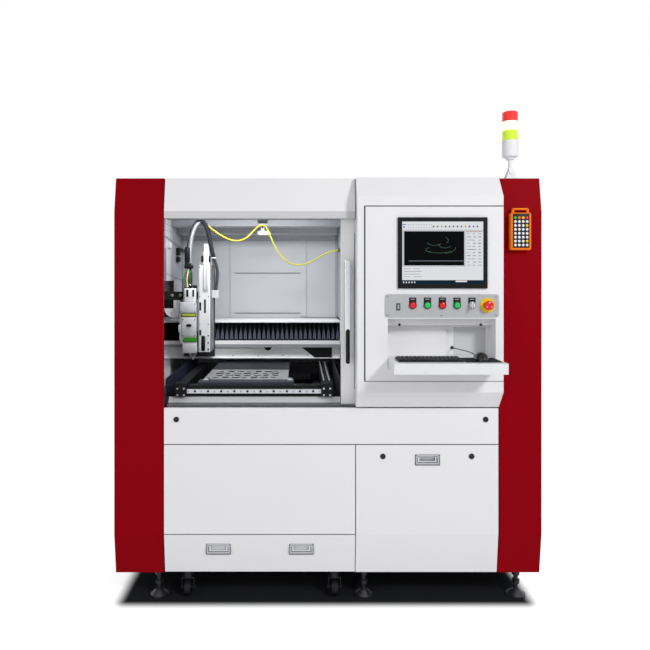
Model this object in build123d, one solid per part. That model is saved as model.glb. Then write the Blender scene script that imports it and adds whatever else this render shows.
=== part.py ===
"""Enclosed fiber laser cutting machine with a console, a sliding window door and a moving table.

Millimetres, X to the right, Y to the back, Z up. Every piece is modelled with y measured from the
front plane of the two corner pillars. The last step moves the whole part so that its origin is the
middle of its footprint on the floor.
"""

from build123d import *
import math
import os

# Cabinet outline
HALF_WIDTH = 940
CABINET_TOP = 1885
CABINET_BOTTOM = 135
CABINET_DEPTH = 1500
KNEE_TOP = 1735
KNEE_LOW = 314
CHAMFER_IN = 25
SKIN = 2
PANEL_GAP = 4
PAN_DEEP = 20

# Front layout
PILLAR_LEFT_INNER = -725
PILLAR_RIGHT_INNER = 754
SEAM_X = 122
WINDOW_TOP = 1706
SILL_TOP = 871
SILL_SEAM = 710
PILLAR_WING = 228
RETURN_DEEP = 22

# Frame members
MEMBER = 60
MEMBER_WALL = 5
POST_LEFT = -920
POST_MID = 137
POST_RIGHT = 860
POST_FRONT_Y = 95
POST_REAR_Y = CABINET_DEPTH - PAN_DEEP - MEMBER

# Console
CONSOLE_OUT = 62
CONSOLE_KNEE_TOP = 1795
CONSOLE_KNEE_LOW = 951
CONSOLE_LEFT = SEAM_X + 2
CONSOLE_RIGHT = PILLAR_RIGHT_INNER - 2
CONSOLE_BACK = 50
CDOOR_LEFT = 158.5
CDOOR_BOTTOM = 1000
CDOOR_TOP = 1750
CDOOR_DEEP = 20
CDOOR_GAP = 2
CDOOR_AXIS_IN = 6
CDOOR_AXIS_BACK = 10
CDOOR_PIN_R = 4

# Keyboard niche and fold-up tray
NICHE_LEFT = 255
NICHE_RIGHT = 718
NICHE_TOP = 1268
TRAY_TOP = 1099
TRAY_THICK = 44
TRAY_REACH = 227
TRAY_SIDE_GAP = 1.5
NICHE_BACK = 40
BAND_HEIGHT = 31

# Running clearance of pins in their holes, on the radius
RUNNING = 0.05
SEAT_GAP = 0.3

# Sliding door
DOOR_FRONT = 62
DOOR_THICK = 22
DOOR_LEFT = 62
DOOR_WIDTH = 860
DOOR_BOTTOM = 876.3
DOOR_TOP = 1711
DOOR_STILE = 60
DOOR_SIDE_GAP = 1.5
RAIL_WALL = 2.5
GLASS_THICK = 4

# Cutting chamber
CHAMBER_LEFT = -838
CHAMBER_RIGHT = 105
CHAMBER_FRONT = 90
CHAMBER_BACK = 1000
CHAMBER_LOW = 722
RING_TOP = CABINET_TOP - SKIN
CEILING = RING_TOP - MEMBER

# Gantry
BEAM_FACE = 790
BEAM_BACK = 980
BEAM_LOW = 1000
BEAM_TOP = 1188
BEAM_WALL = 10
COVER_FRONT = 740
COVER_LEFT = -900
COVER_RIGHT = 103
LEDGE_FRONT = 735
LEDGE_LOW = 1050
LEDGE_TOP = 1086
SKIRT_LOW = 985
X_RAIL_HEIGHTS = (1112, 1162)
X_RAIL_HALF = 10
X_RAIL_DEEP = 15

# Cutting head and its carriage
CARRIAGE_LEFT = -772
CARRIAGE_RIGHT = -600
CARRIAGE_FRONT = 716
CARRIAGE_THICK = 16
HEAD_LEFT = -775
HEAD_RIGHT = -683
HEAD_FRONT = 600
HEAD_BACK = 690
HEAD_LOW = 1035
HEAD_HIGH = 1308
NOZZLE_X = -708
NOZZLE_TIP = 992
Z_BOX_LEFT = -672
Z_BOX_RIGHT = -607
Z_RAIL_THICK = 4

# Bellows
FOLD_PITCH = 26
FOLD_FRONT = 742
FOLD_BACK = 768
FOLD_SKIN = 4

# Table
TABLE_LEFT = -693
TABLE_RIGHT = 28
TABLE_FRONT = 115
TABLE_REAR = 800
TABLE_LOW = 899
TABLE_TOP = 954
END_BLOCK_WIDE = 54
SIDE_BEAM_WIDE = 47
SHEET_TOP = 964
SHEET_THICK = 2
SHEET_LEFT = -578
SHEET_RIGHT = -180
SHEET_FRONT = 195
SHEET_BACK = 480
HOLE_PITCH = 60
BED_TOP = 850
Y_RAIL_TOP = 868
Y_RAIL_WIDE = 20

# Feet and casters
FOOT_X = (-762, 167, 858)
FOOT_Y = (90, 1410)
FOOT_R = 42
STUD_R = 10
MEMBER_LOW = 137
CASTER_X = (-629, 34)
CASTER_Y = (88, 1300)
WHEEL_R = 35
WHEEL_WIDE = 26
WHEEL_AXLE_Z = 40
AXLE_R = 5
PLATE_TOP = MEMBER_LOW + 10

# Handles, locks and controls
PULL_WIDE = 105
PULL_HIGH = 44
PULL_RECESS = 14
BAIL_R = 3
BAIL_PIN_R = 2
LOCK_R = 10
CONTROL_Z = 1326
BUTTON_X = (361, 424, 488, 551)
KEY_X = 615
ESTOP_X = 681
PORT_X = 299
BUTTON_R = 13
MONITOR = (297, 681, 1398, 1703)

# Signal tower
TOWER_X = 826
TOWER_Y = 70
TOWER_PIVOT_Z = 1917
TOWER_R = 35
TOWER_LEVELS = (1989, 2061, 2106, 2147, 2192)

# Base frame
SHELF_Y = (860, 985)
BED_RING_LOW = 580
BED_LOW = BED_RING_LOW + MEMBER
BED_CROSS_Y = (240, 1300)
FOOT_MEMBER_OVER = (40, 45)
MULLION_WIDE = 18
MULLION_DEEP = 25
RAIL_PLATE = 2.5
RAIL_PLATE_HALF = 16
ARM_WIDE = 20
MULLION_ARM_Z = (400, 600)
COVER_ARM_Z = (340, KNEE_TOP + 30)

# Door rails and door details
RAIL_DEEP = 20
RAIL_BASE = DOOR_BOTTOM - SEAT_GAP - RAIL_WALL - RAIL_DEEP
RAIL_CROWN = DOOR_TOP + 29
SHELF_THICK = 8
REBATE = 10
GLASS_Y = DOOR_FRONT + 12
DOOR_RAIL_WIDE = 64
HANDLE_X = 90.5
HANDLE_Z = (1061, 1523)
HANDLE_HALF = 9
HANDLE_OUT = 36

# Scrap drawer and sill flap
DRAWER_LOW = 150
DRAWER_HIGH = 296
DRAWER_BACK = 860
DRAWER_RIGHT = 100
SILL_AXIS = (6, SILL_SEAM + 8)
SILL_DEEP = 16

# Console door, niche and what lies on the tray
MONITOR_LIP = 6
STEM_R = 8
NICHE_LOW = TRAY_TOP - TRAY_THICK - 2
FLOOR_FRONT = -17
CABLE_BOX = (530, 706, TRAY_TOP, 1223)
CABLE_BOX_BACK = 54
CATCH_X = (304, 658)
TRAY_AXIS = (-CONSOLE_OUT + TRAY_THICK / 2, TRAY_TOP - TRAY_THICK / 2)
TRAY_PIN_R = 5
CORD_HOLE = (560, 1130)
KEYBOARD = (282, 552, -186, -84)
KEYBOARD_LOW = 9
KEYBOARD_HIGH = 16
KEY_ROWS = 5
KEY_COLUMNS = 15
MAT = (557, 703, -195, -72)
MAT_THICK = 3
MOUSE_AT = (632, -134, TRAY_TOP + MAT_THICK)
MOUSE_HALF = (30, 52, 36)
PLATE_THICK = 3
PLATE = (242, 731, 1274, 1373)
PENDANT_X = 839
PENDANT_Z = (1564, 1728, 1748)

# Locks and pulls on the front covers
SILL_LOCKS = (-667, 694)
SERVICE_LOCKS = (242, 632)
SILL_LOCK_Z = 820
SERVICE_LOCK_Z = 658
TONGUE_LONG = 64
TONGUE_HALF = 7
TONGUE_THICK = 2.5
DRAWER_PULLS = (-483, -117)
DRAWER_PULL_Z = 248
SERVICE_PULL = (438, 644)

# Chamber details
BEAM_CUT_FRONT = 515
BEAM_CUT_TOP = 1424
BEAM_CUT_RIGHT = 700
STEP_Y = (700, 850)
STEP_Z = (1727, 1695)
RIB_POST = (-120, -86)
RIB_X = (-517, -120)
RIB_Z = (1474, 1232)
HATCH = (540, 985, 1425, 1600)
CABLE_GLAND = (800, 1598)
BED_BEAM_X = (-720, -50)
BED_BEAM_WIDE = 110
BED_FRONT = 160
BED_REAR = 1440
GUARD_X = (-740, 61)
GUARD_TOP = 978

# Carriage details
Z_RAIL_Y = (640, 680)
Z_BOX_LOW = 1040
Z_BOX_TOP = 1510
Z_BOX_CHAMFER = 6
CARRIAGE_LOW = 1000
CARRIAGE_TOP = 1200
UPRIGHT_LEFT = -690
MOTOR_AT = (-640, 660)
MOTOR_R = 26
MOTOR_HIGH = 50
STALK = (-657, -630, 700)
STALK_TOP = 1631
UPPER_ARM = (-888, -680, 1319, 1363)
LOWER_ARM = (-884, -779, 1221, 1325)
ARM_THICK = 8
CLAMP_X = -588
CLAMP_TOP = 1372
CLAMP_HIGH = 42
CLAMP_HALF = 16
CLAMP_Y = (652, 690)

# Cutting head details
COLLIMATOR_R = 32
CONNECTOR_R = 17
HEAD_SHOULDER = 72
HEAD_NARROW = 16
NOZZLE_NECK = 1012
HOSE_START = 1470
SLIDE_PLATE_Y = 630
SLIDE_PLATE_Z = (1150, 1300)

# Cords: the points of each route, from one end to the other
HOSE_D = 24
HOSE_ROUTE = [
    (-729, 645, HOSE_START + 0.5),
    (-731, 646, 1530),
    (-738, 645, 1610),
    (-731, 643, 1690),
    (-692, 644, 1742),
    (-634, 646, 1742),
    (-597, 649, 1692),
    (-586, 653, 1610),
    (-577, 660, 1530),
    (-578, 668, 1450),
    (CLAMP_X, 671, CLAMP_TOP + 2),
]
CABLE_D = 8
CABLE_ROUTE = [
    (CHAMBER_RIGHT - 8.6, CABLE_GLAND[0], CABLE_GLAND[1]),
    (52, 799, 1592),
    (2, 795, 1568),
    (-48, 788, 1536),
    (-102, 778, 1514),
    (-158, 764, 1512),
    (-208, 745, 1538),
    (-246, 722, 1584),
    (-274, 700, 1640),
    (-294, 688, 1688),
    (-305, 686, 1713),
    (-316, 685, 1728),
    (-333, 683, 1734),
    (-353, 682, 1727),
    (-376, 680, 1704),
    (-406, 677, 1670),
    (-444, 674, 1647),
    (-486, 671, 1644),
    (-530, 668, 1658),
    (-574, 665, 1684),
    (-614, 665, 1714),
    (-650, 661.5, 1746),
]
CORD_D = 4
CORD_ROUTE = [
    (MOUSE_AT[0], MOUSE_AT[1] + MOUSE_HALF[1] - 0.2, MOUSE_AT[2] + 8),
    (631, -60, 1112),
    (622, -38, 1118),
    (604, -20, 1124),
    (582, -8, 1128),
    (566, 8, 1131),
    (560, 28, 1130),
    (CORD_HOLE[0], CABLE_BOX_BACK - 6, CORD_HOLE[1]),
]

# Cases inside the right cabinet
CASE_WALL = 3
CASE_X = (230, 820)
SOURCE_Y = (130, 912)
SOURCE_TOP = 640
CABINET_CASE_TOP = 1650

# Rear connections
SPIGOT_R = 75
SPIGOT_LONG = 60
SPIGOT_X = -360
SPIGOT_Z = 560
GLAND_X = 760
GLAND_Z = 260

ORIGIN_Y = -(CABINET_DEPTH + SPIGOT_LONG - TRAY_REACH) / 2

FINISHED = {}


def block(x0, x1, y0, y1, z0, z1):
    """A box between two opposite corners."""
    centre = Pos((x0 + x1) / 2, (y0 + y1) / 2, (z0 + z1) / 2)
    return centre * Box(x1 - x0, y1 - y0, z1 - z0)


def rod_x(x0, x1, y, z, r):
    """A round bar along X."""
    return Pos((x0 + x1) / 2, y, z) * Rot(0, 90, 0) * Cylinder(r, x1 - x0)


def rod_y(y0, y1, x, z, r):
    """A round bar along Y."""
    return Pos(x, (y0 + y1) / 2, z) * Rot(90, 0, 0) * Cylinder(r, y1 - y0)


def rod_z(z0, z1, x, y, r):
    """A round bar along Z."""
    return Pos(x, y, (z0 + z1) / 2) * Cylinder(r, z1 - z0)


def cone_z(z0, z1, x, y, r0, r1):
    """A round taper along Z, r0 at the bottom and r1 at the top."""
    return Pos(x, y, (z0 + z1) / 2) * Cone(r0, r1, z1 - z0)


def prism_x(outline, x0, x1):
    """An outline of (y, z) points, drawn out along X."""
    face = make_face(Polyline(*[(x0, y, z) for y, z in outline], close=True))
    return extrude(face, amount=x1 - x0, dir=(1, 0, 0))


def prism_y(outline, y0, y1):
    """An outline of (x, z) points, drawn out along Y."""
    face = make_face(Polyline(*[(x, y0, z) for x, z in outline], close=True))
    return extrude(face, amount=y1 - y0, dir=(0, 1, 0))


def prism_z(outline, z0, z1):
    """An outline of (x, y) points, drawn out along Z."""
    face = make_face(Polyline(*[(x, y, z0) for x, y in outline], close=True))
    return extrude(face, amount=z1 - z0, dir=(0, 0, 1))


def fused(pieces):
    """All pieces as one solid."""
    whole = pieces[0]
    for piece in pieces[1:]:
        whole = whole + piece
    return whole


def channel(x0, x1, y0, y1, z0, z1, open_side):
    """A U-section frame member, open towards one side."""
    wall = MEMBER_WALL
    low = [x0 + wall, y0 + wall, z0 + wall]
    high = [x1 - wall, y1 - wall, z1 - wall]
    spans = (x1 - x0, y1 - y0, z1 - z0)
    along = spans.index(max(spans))
    low[along] = (x0, y0, z0)[along] - 1
    high[along] = (x1, y1, z1)[along] + 1
    axis = "xyz".index(open_side[1])
    if open_side[0] == "+":
        high[axis] = (x1, y1, z1)[axis] + 1
    else:
        low[axis] = (x0, y0, z0)[axis] - 1
    return block(x0, x1, y0, y1, z0, z1) - block(low[0], high[0], low[1], high[1], low[2], high[2])


def front_line(z):
    """How far the folded front stands back from the front plane at height z."""
    if z > KNEE_TOP:
        return CHAMFER_IN * (z - KNEE_TOP) / (CABINET_TOP - KNEE_TOP)
    if z < KNEE_LOW:
        return CHAMFER_IN * (KNEE_LOW - z) / (KNEE_LOW - CABINET_BOTTOM)
    return 0


def front_points(z0, z1, behind):
    """Points up the folded front, a distance behind its skin."""
    knees = [knee for knee in (KNEE_LOW, KNEE_TOP) if z0 < knee < z1]
    return [(front_line(z) + behind, z) for z in [z0, *knees, z1]]


def front_slab(x0, x1, z0, z1, near, far):
    """A slab that follows the folded front, between two distances behind it."""
    outline = front_points(z0, z1, near) + front_points(z0, z1, far)[::-1]
    return prism_x(outline, x0, x1)


def pan(x0, x1, z0, z1, deep=PAN_DEEP):
    """A folded cover: a skin on the front line with a return on each edge, open behind."""
    outer = front_slab(x0, x1, z0, z1, 0, deep)
    return outer - front_slab(x0 + SKIN, x1 - SKIN, z0 + SKIN, z1 - SKIN, SKIN, deep + 1)


def keep(name, shape):
    """Moves a finished piece to the part's origin and notes it for writing."""
    FINISHED[name] = Pos(0, ORIGIN_Y, 0) * shape


# Frame: three lines of posts on long members, joined by cross members and a top ring
def base_frame():
    members = []
    rails_x = (FOOT_X[0] - MEMBER / 2, FOOT_X[1] - MEMBER / 2, FOOT_X[2] - MEMBER / 2)
    foot_front = FOOT_Y[0] - FOOT_MEMBER_OVER[0]
    foot_rear = FOOT_Y[1] + FOOT_MEMBER_OVER[1]
    low_top = MEMBER_LOW + MEMBER
    for x in rails_x:
        members.append(channel(x, x + MEMBER, foot_front, foot_rear, MEMBER_LOW, low_top, "+z"))
    deck_top = low_top + MEMBER
    for y in (POST_FRONT_Y, POST_REAR_Y):
        left_reach = rails_x[0] + MEMBER if y == POST_FRONT_Y else POST_MID + MEMBER_WALL
        members.append(block(POST_LEFT, left_reach, y, y + MEMBER, low_top, deck_top))
        members.append(channel(POST_MID, POST_RIGHT + MEMBER, y, y + MEMBER, low_top, deck_top, "+z"))
        for x in (POST_LEFT, POST_MID, POST_RIGHT):
            open_to = "+y" if y == POST_FRONT_Y else "-y"
            members.append(channel(x, x + MEMBER, y, y + MEMBER, deck_top, CEILING, open_to))
        members.append(channel(POST_LEFT, POST_RIGHT + MEMBER, y, y + MEMBER, CEILING, RING_TOP, "-z"))
    for y in SHELF_Y:
        members.append(channel(POST_MID, rails_x[2] + MEMBER, y, y + MEMBER, low_top, deck_top, "+z"))
    for x in (POST_LEFT, POST_MID, POST_RIGHT):
        members.append(
            channel(x, x + MEMBER, POST_FRONT_Y + MEMBER, POST_REAR_Y, CEILING, RING_TOP, "-z")
        )
    for x in (POST_LEFT, POST_MID):
        members.append(
            channel(x, x + MEMBER, POST_FRONT_Y + MEMBER, POST_REAR_Y, BED_RING_LOW, BED_LOW, "+x")
        )
    for y in BED_CROSS_Y:
        members.append(
            channel(POST_LEFT + MEMBER, POST_MID, y, y + MEMBER, BED_RING_LOW, BED_LOW, "-z")
        )
    seam_top = SILL_SEAM + 10
    for x0, x1 in ((POST_LEFT + MEMBER, POST_MID), (POST_MID + MEMBER, POST_RIGHT)):
        members.append(
            channel(x0, x1, POST_FRONT_Y, POST_FRONT_Y + MEMBER, seam_top - MEMBER, seam_top, "-y")
        )
    members += [front_fittings(), door_shelves(), caster_mounts(rails_x)]
    return fused(members)


def front_fittings():
    """The mullion and the seam rail that carry the front panels, with their arms to the frame."""
    near = PAN_DEEP + SEAT_GAP
    far = near + MULLION_DEEP
    seam_low = SILL_SEAM - RAIL_PLATE_HALF
    left = SEAM_X - MULLION_WIDE
    flap_clear = MEMBER_LOW + 33
    pieces = [
        front_slab(left, SEAM_X, MEMBER_LOW, seam_low, near, far),
        front_slab(SEAM_X, SEAM_X + MULLION_WIDE, flap_clear, seam_low, near, far),
    ]
    tab_y = service_axis()[0]
    pieces.append(block(SEAM_X - 1, SEAM_X + 1, tab_y - 4, tab_y + 20, MEMBER_LOW + 1, MEMBER_LOW + 15))
    pieces.append(rod_x(SEAM_X - 1, SEAM_X + 5.5, *service_axis(), BAIL_R))
    plate_back = near + RAIL_PLATE
    plate_left = PILLAR_LEFT_INNER + 25
    plate_right = PILLAR_RIGHT_INNER - SKIN
    seam_high = SILL_SEAM + RAIL_PLATE_HALF
    pieces.append(block(plate_left, plate_right, near, plate_back, seam_low, seam_high))
    arm = ARM_WIDE
    for x in (plate_left, SEAM_X + 8, plate_right - arm):
        pieces.append(block(x, x + arm, plate_back, POST_FRONT_Y, SILL_SEAM - arm, SILL_SEAM))
    for z in MULLION_ARM_Z:
        pieces.append(block(left + 6, POST_MID + 13, far, POST_FRONT_Y, z, z + arm))
    for x in (POST_LEFT + arm, POST_RIGHT + arm):
        for z in COVER_ARM_Z:
            deepest = max(front_line(z), front_line(z + arm / 2))
            pieces.append(block(x, x + arm, deepest + SKIN, POST_FRONT_Y, z, z + arm / 2))
    return fused(pieces)


def door_shelves():
    """Flat bars under the lower door rail and over the upper one, tied to the posts."""
    pieces = []
    front = DOOR_FRONT - DOOR_SIDE_GAP - RAIL_WALL
    back = CHAMBER_FRONT
    for z0 in (RAIL_BASE - SHELF_THICK, RAIL_CROWN):
        z1 = z0 + SHELF_THICK
        pieces.append(block(POST_LEFT + 2, POST_RIGHT + MEMBER - 2, front, back, z0, z1))
        for x in (POST_LEFT + 5, POST_MID, POST_RIGHT):
            pieces.append(block(x, x + MEMBER - 5, back - 5, POST_FRONT_Y, z0, z1))
    tab = 30
    for x in (CONSOLE_LEFT, CONSOLE_RIGHT - tab):
        pieces.append(block(x, x + tab, CONSOLE_BACK, front, RAIL_CROWN, RAIL_CROWN + SHELF_THICK))
    return fused(pieces)


def caster_mounts(rails_x):
    """Flat cross plates with the skids of the scrap drawer on top and the caster forks below."""
    pieces = []
    left = rails_x[0] + MEMBER
    right = rails_x[1]
    for y in (*CASTER_Y, sum(CASTER_Y) / 2):
        pieces.append(block(left - 2, right + 2, y - 30, y + 30, MEMBER_LOW, PLATE_TOP))
    for x in (left + 40, right - 80):
        pieces.append(block(x, x + 20, CASTER_Y[0] - 20, 870, PLATE_TOP, DRAWER_LOW - SEAT_GAP))
    for x in CASTER_X:
        for y in CASTER_Y:
            pieces.append(caster_fork(x, y))
    return fused(pieces)


def caster_fork(x, y):
    """A rigid caster fork with its axle bolt."""
    leg = 3
    half = WHEEL_WIDE / 2 + leg + 12
    crown = WHEEL_AXLE_Z + WHEEL_R + 12
    pieces = [
        block(x - 36, x + 36, y - 28, y + 28, MEMBER_LOW - 5, MEMBER_LOW),
        rod_z(crown, MEMBER_LOW, x, y, 20),
        block(x - half, x + half, y - 18, y + 18, crown, crown + leg),
        rod_x(x - half - 5, x + half + 5, y, WHEEL_AXLE_Z, AXLE_R),
    ]
    for side in (-1, 1):
        leg_x = x + side * (half - leg / 2)
        leg_low = WHEEL_AXLE_Z - 10
        outline = [(y - 18, crown), (y - 10, leg_low), (y + 10, leg_low), (y + 18, crown)]
        pieces.append(prism_x(outline, leg_x - leg / 2, leg_x + leg / 2))
        pieces.append(rod_x(leg_x - 4, leg_x + 4, y, WHEEL_AXLE_Z, AXLE_R + 4))
    return fused(pieces)


def caster_wheel(x, y):
    """A grooved wheel with a hub on each side, free on its axle bolt."""
    wheel = rod_x(x - WHEEL_WIDE / 2, x + WHEEL_WIDE / 2, y, WHEEL_AXLE_Z, WHEEL_R)
    for side in (-1, 1):
        face = x + side * WHEEL_WIDE / 2
        wheel -= rod_x(min(face, face - side * 4), max(face, face - side * 4), y, WHEEL_AXLE_Z, 24)
        wheel += rod_x(min(face + side * 6, x), max(face + side * 6, x), y, WHEEL_AXLE_Z, 11)
    return wheel - rod_x(x - 40, x + 40, y, WHEEL_AXLE_Z, AXLE_R + RUNNING)


def levelling_foot(x, y):
    """A levelling foot: a coned pad, a stud and two nuts."""
    nut = 8.5
    pieces = [
        rod_z(0, 10, x, y, FOOT_R),
        cone_z(10, 30, x, y, FOOT_R - 4, 16),
        rod_z(28, MEMBER_LOW, x, y, STUD_R),
    ]
    for z in (58, 96):
        hexagon = extrude(RegularPolygon(STUD_R + nut, 6), amount=15)
        pieces.append(Pos(x, y, z) * hexagon)
    return fused(pieces)


# Covers


def service_axis():
    """(y, z) of the pivot line of the lower right flap."""
    height = CABINET_BOTTOM + 9
    return front_line(height) + 8, height


def pillar_cover(side, inner):
    """A red corner cover: folded front, side wing and inner return, with the flap pivots."""
    outer_x = side * HALF_WIDTH
    x0, x1 = min(outer_x, inner), max(outer_x, inner)
    top = CABINET_TOP
    deep = front_slab(x0, x1, CABINET_BOTTOM, top, 0, 400)
    deep -= block(x0 - 1, x1 + 1, PILLAR_WING, 600, 0, 2000)
    hollow = front_slab(x0 + SKIN, x1 - SKIN, CABINET_BOTTOM - 1, top + 1, SKIN, 500)
    shell = deep - hollow
    inner_wall = front_slab(x0 - 1, x1 + 1, CABINET_BOTTOM - 1, top + 1, RETURN_DEEP, 500)
    away = inner - side * SKIN * 1.5
    strip = sorted((away, inner + side * 10))
    shell -= inner_wall & block(*strip, 0, 600, 0, 2000)
    under_roof = sorted((side * (HALF_WIDTH - SKIN), inner - side * 3))
    shell -= block(*under_roof, CHAMFER_IN + PANEL_GAP - 1, 600, CABINET_TOP - SKIN, CABINET_TOP + 1)
    if side < 0:
        lip_z = (KNEE_LOW + 2, SILL_SEAM - 2)
        shell += block(inner - SKIN, inner + 25, PAN_DEEP, RETURN_DEEP, *lip_z)
        shell += rod_x(inner - SKIN, inner + 7.5, *SILL_AXIS, BAIL_R)
    else:
        shell += rod_x(inner - 7.5, inner + SKIN, *SILL_AXIS, BAIL_R)
        shell += rod_x(inner - 7.5, inner + SKIN, *service_axis(), BAIL_R)
    return shell


def louvres(x_or_y, along, z0, z1, near, far, count):
    """Cutters for rows of short cooling slots in a flat panel."""
    cuts = []
    step = (z1 - z0) / count
    half = 55
    for row in range(count):
        z = z0 + step * row
        for column in x_or_y:
            if along == "y":
                cuts.append(block(near, far, column - half, column + half, z, z + 6))
            else:
                cuts.append(block(column - half, column + half, near, far, z, z + 6))
    return fused(cuts)


def side_panel(side):
    """A white side pan with cooling slots low at the back."""
    outer = side * HALF_WIDTH
    inner = side * (HALF_WIDTH - PAN_DEEP)
    x0, x1 = min(outer, inner), max(outer, inner)
    front, back = PILLAR_WING + PANEL_GAP, CABINET_DEPTH - PAN_DEEP - PANEL_GAP
    low, high = CABINET_BOTTOM, CABINET_TOP - SKIN - PANEL_GAP / 2
    panel = block(x0, x1, front, back, low, high)
    hollow0 = x0 + SKIN if side < 0 else x0 - 1
    hollow1 = x1 + 1 if side < 0 else x1 - SKIN
    panel -= block(hollow0, hollow1, front + SKIN, back - SKIN, low + SKIN, high - SKIN)
    middle = (front + back) / 2
    hem = 3
    panel -= block(x0 - 1, x1 + 1, middle - hem / 2, middle + hem / 2, low - 1, high + 1)
    for y0 in (middle - hem / 2 - SKIN, middle + hem / 2):
        panel += block(x0, x1, y0, y0 + SKIN, low, high)
    tie = HALF_WIDTH - PAN_DEEP
    tie0, tie1 = (-tie - SKIN, -tie) if side < 0 else (tie, tie + SKIN)
    panel += block(tie0, tie1, middle - 20, middle + 20, low + 60, high - 60)
    return panel - louvres((back - 200, back - 330), "y", 420, 640, outer - 5, outer + 5, 12)


def rear_panel():
    """The back cover with its cooling slots, its cable gland and the round extraction spigot."""
    half = HALF_WIDTH - PANEL_GAP
    back = CABINET_DEPTH
    front = back - PAN_DEEP
    low, high = CABINET_BOTTOM, CABINET_TOP - SKIN - PANEL_GAP / 2
    panel = block(-half, half, front, back, low, high)
    panel -= block(-half + SKIN, half - SKIN, front - 1, back - SKIN, low + SKIN, high - SKIN)
    panel += rod_y(back - SKIN, back + SPIGOT_LONG, SPIGOT_X, SPIGOT_Z, SPIGOT_R)
    panel -= rod_y(front, back + SPIGOT_LONG + 1, SPIGOT_X, SPIGOT_Z, SPIGOT_R - SKIN)
    panel += rod_y(back - SKIN, back + 22, GLAND_X, GLAND_Z, 20)
    panel -= rod_y(front, back + 30, GLAND_X, GLAND_Z, 11)
    for columns in ((380, 510, 640), (-640, -510)):
        panel -= louvres(columns, "x", 1200, 1500, back - 5, back + 5, 14)
    return panel


def roof_cover():
    """The roof sheet with the chamfered header over the window."""
    back = CABINET_DEPTH
    edge = HALF_WIDTH - SKIN
    roof = block(-edge, edge, CHAMFER_IN + PANEL_GAP, back, CABINET_TOP - SKIN, CABINET_TOP)
    left = PILLAR_LEFT_INNER + PANEL_GAP
    right = SEAM_X - PANEL_GAP / 2
    roof += front_slab(left, right, WINDOW_TOP, CABINET_TOP, 0, SKIN)
    roof += block(left, right, CHAMFER_IN, CHAMFER_IN + 20, CABINET_TOP - SKIN, CABINET_TOP)
    roof += block(left, right, 0, CONSOLE_BACK, WINDOW_TOP, WINDOW_TOP + SKIN)
    roof -= block(SEAM_X, PILLAR_RIGHT_INNER, 0, CONSOLE_BACK, CABINET_TOP - 5, CABINET_TOP + 5)
    return roof


def console_housing():
    """The bulged shell round the console door, with the door's jamb and its two pivot pins."""
    t = SKIN
    out = -CONSOLE_OUT
    sill = SILL_TOP + PANEL_GAP
    outer = [
        (CONSOLE_BACK, sill),
        (0, sill),
        (out, CONSOLE_KNEE_LOW),
        (out, CONSOLE_KNEE_TOP),
        (0, CABINET_TOP),
        (CONSOLE_BACK, CABINET_TOP),
    ]
    inner = [
        (CONSOLE_BACK + 1, sill + t),
        (t / 2, sill + t),
        (out + t, CONSOLE_KNEE_LOW + t / 2),
        (out + t, CONSOLE_KNEE_TOP - t / 2),
        (t / 2, CABINET_TOP - t),
        (CONSOLE_BACK + 1, CABINET_TOP - t),
    ]
    shell = prism_x(outer, CONSOLE_LEFT, CONSOLE_RIGHT)
    shell -= prism_x(inner, CONSOLE_LEFT + t, CONSOLE_RIGHT - t)
    gap = CDOOR_GAP
    left, low, high = CDOOR_LEFT - gap, CDOOR_BOTTOM - gap, CDOOR_TOP + gap
    stop = out + CDOOR_DEEP + SEAT_GAP
    shell -= block(left, CONSOLE_RIGHT + 1, out - 5, stop + 6, low, high)
    axis_x, axis_y = cdoor_axis()
    jamb = block(left - t, CONSOLE_RIGHT, out, stop, low - t, high + t)
    jamb -= block(left, CONSOLE_RIGHT + 1, out - 1, stop + 1, low, high)
    ring = block(left - t, axis_x - 18, stop, stop + t, low - t, high + t)
    ring -= block(left + 18, axis_x, stop - 1, stop + t + 1, low + 18, high - 18)
    pins = rod_z(high - 12, high + t, axis_x, axis_y, CDOOR_PIN_R)
    pins += rod_z(low - t, low + 14, axis_x, axis_y, CDOOR_PIN_R)
    return shell + jamb + ring + pins


def cdoor_axis():
    """(x, y) of the console door's upright pivot line."""
    return CONSOLE_RIGHT - CDOOR_AXIS_IN, CDOOR_AXIS_BACK - CONSOLE_OUT


def console_door():
    """The console door pan with its monitor window, control holes and keyboard niche."""
    t = SKIN
    front = -CONSOLE_OUT
    back = front + CDOOR_DEEP
    door = block(CDOOR_LEFT, CONSOLE_RIGHT, front, back, CDOOR_BOTTOM, CDOOR_TOP)
    door -= block(
        CDOOR_LEFT + t, CONSOLE_RIGHT - t, front + t, back + 1, CDOOR_BOTTOM + t, CDOOR_TOP - t
    )
    left, right, low, high = MONITOR
    inset = MONITOR_LIP - 0.5
    door -= block(left + inset, right - inset, front - 1, front + 5, low + inset, high - inset)
    for x in BUTTON_X:
        door -= rod_y(front - 1, front + 5, x, CONTROL_Z, STEM_R + 1)
    for x in (KEY_X, ESTOP_X):
        door -= rod_y(front - 1, front + 5, x, CONTROL_Z, STEM_R + 1)
    door -= block(NICHE_LEFT, NICHE_RIGHT, front - 1, front + 5, NICHE_LOW, NICHE_TOP)
    door += niche()
    axis_x, axis_y = cdoor_axis()
    door -= rod_z(CDOOR_BOTTOM - 1, CDOOR_BOTTOM + 5, axis_x, axis_y, CDOOR_PIN_R + RUNNING)
    door -= rod_z(CDOOR_TOP - 5, CDOOR_TOP + 1, axis_x, axis_y, CDOOR_PIN_R + RUNNING)
    return door


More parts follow.
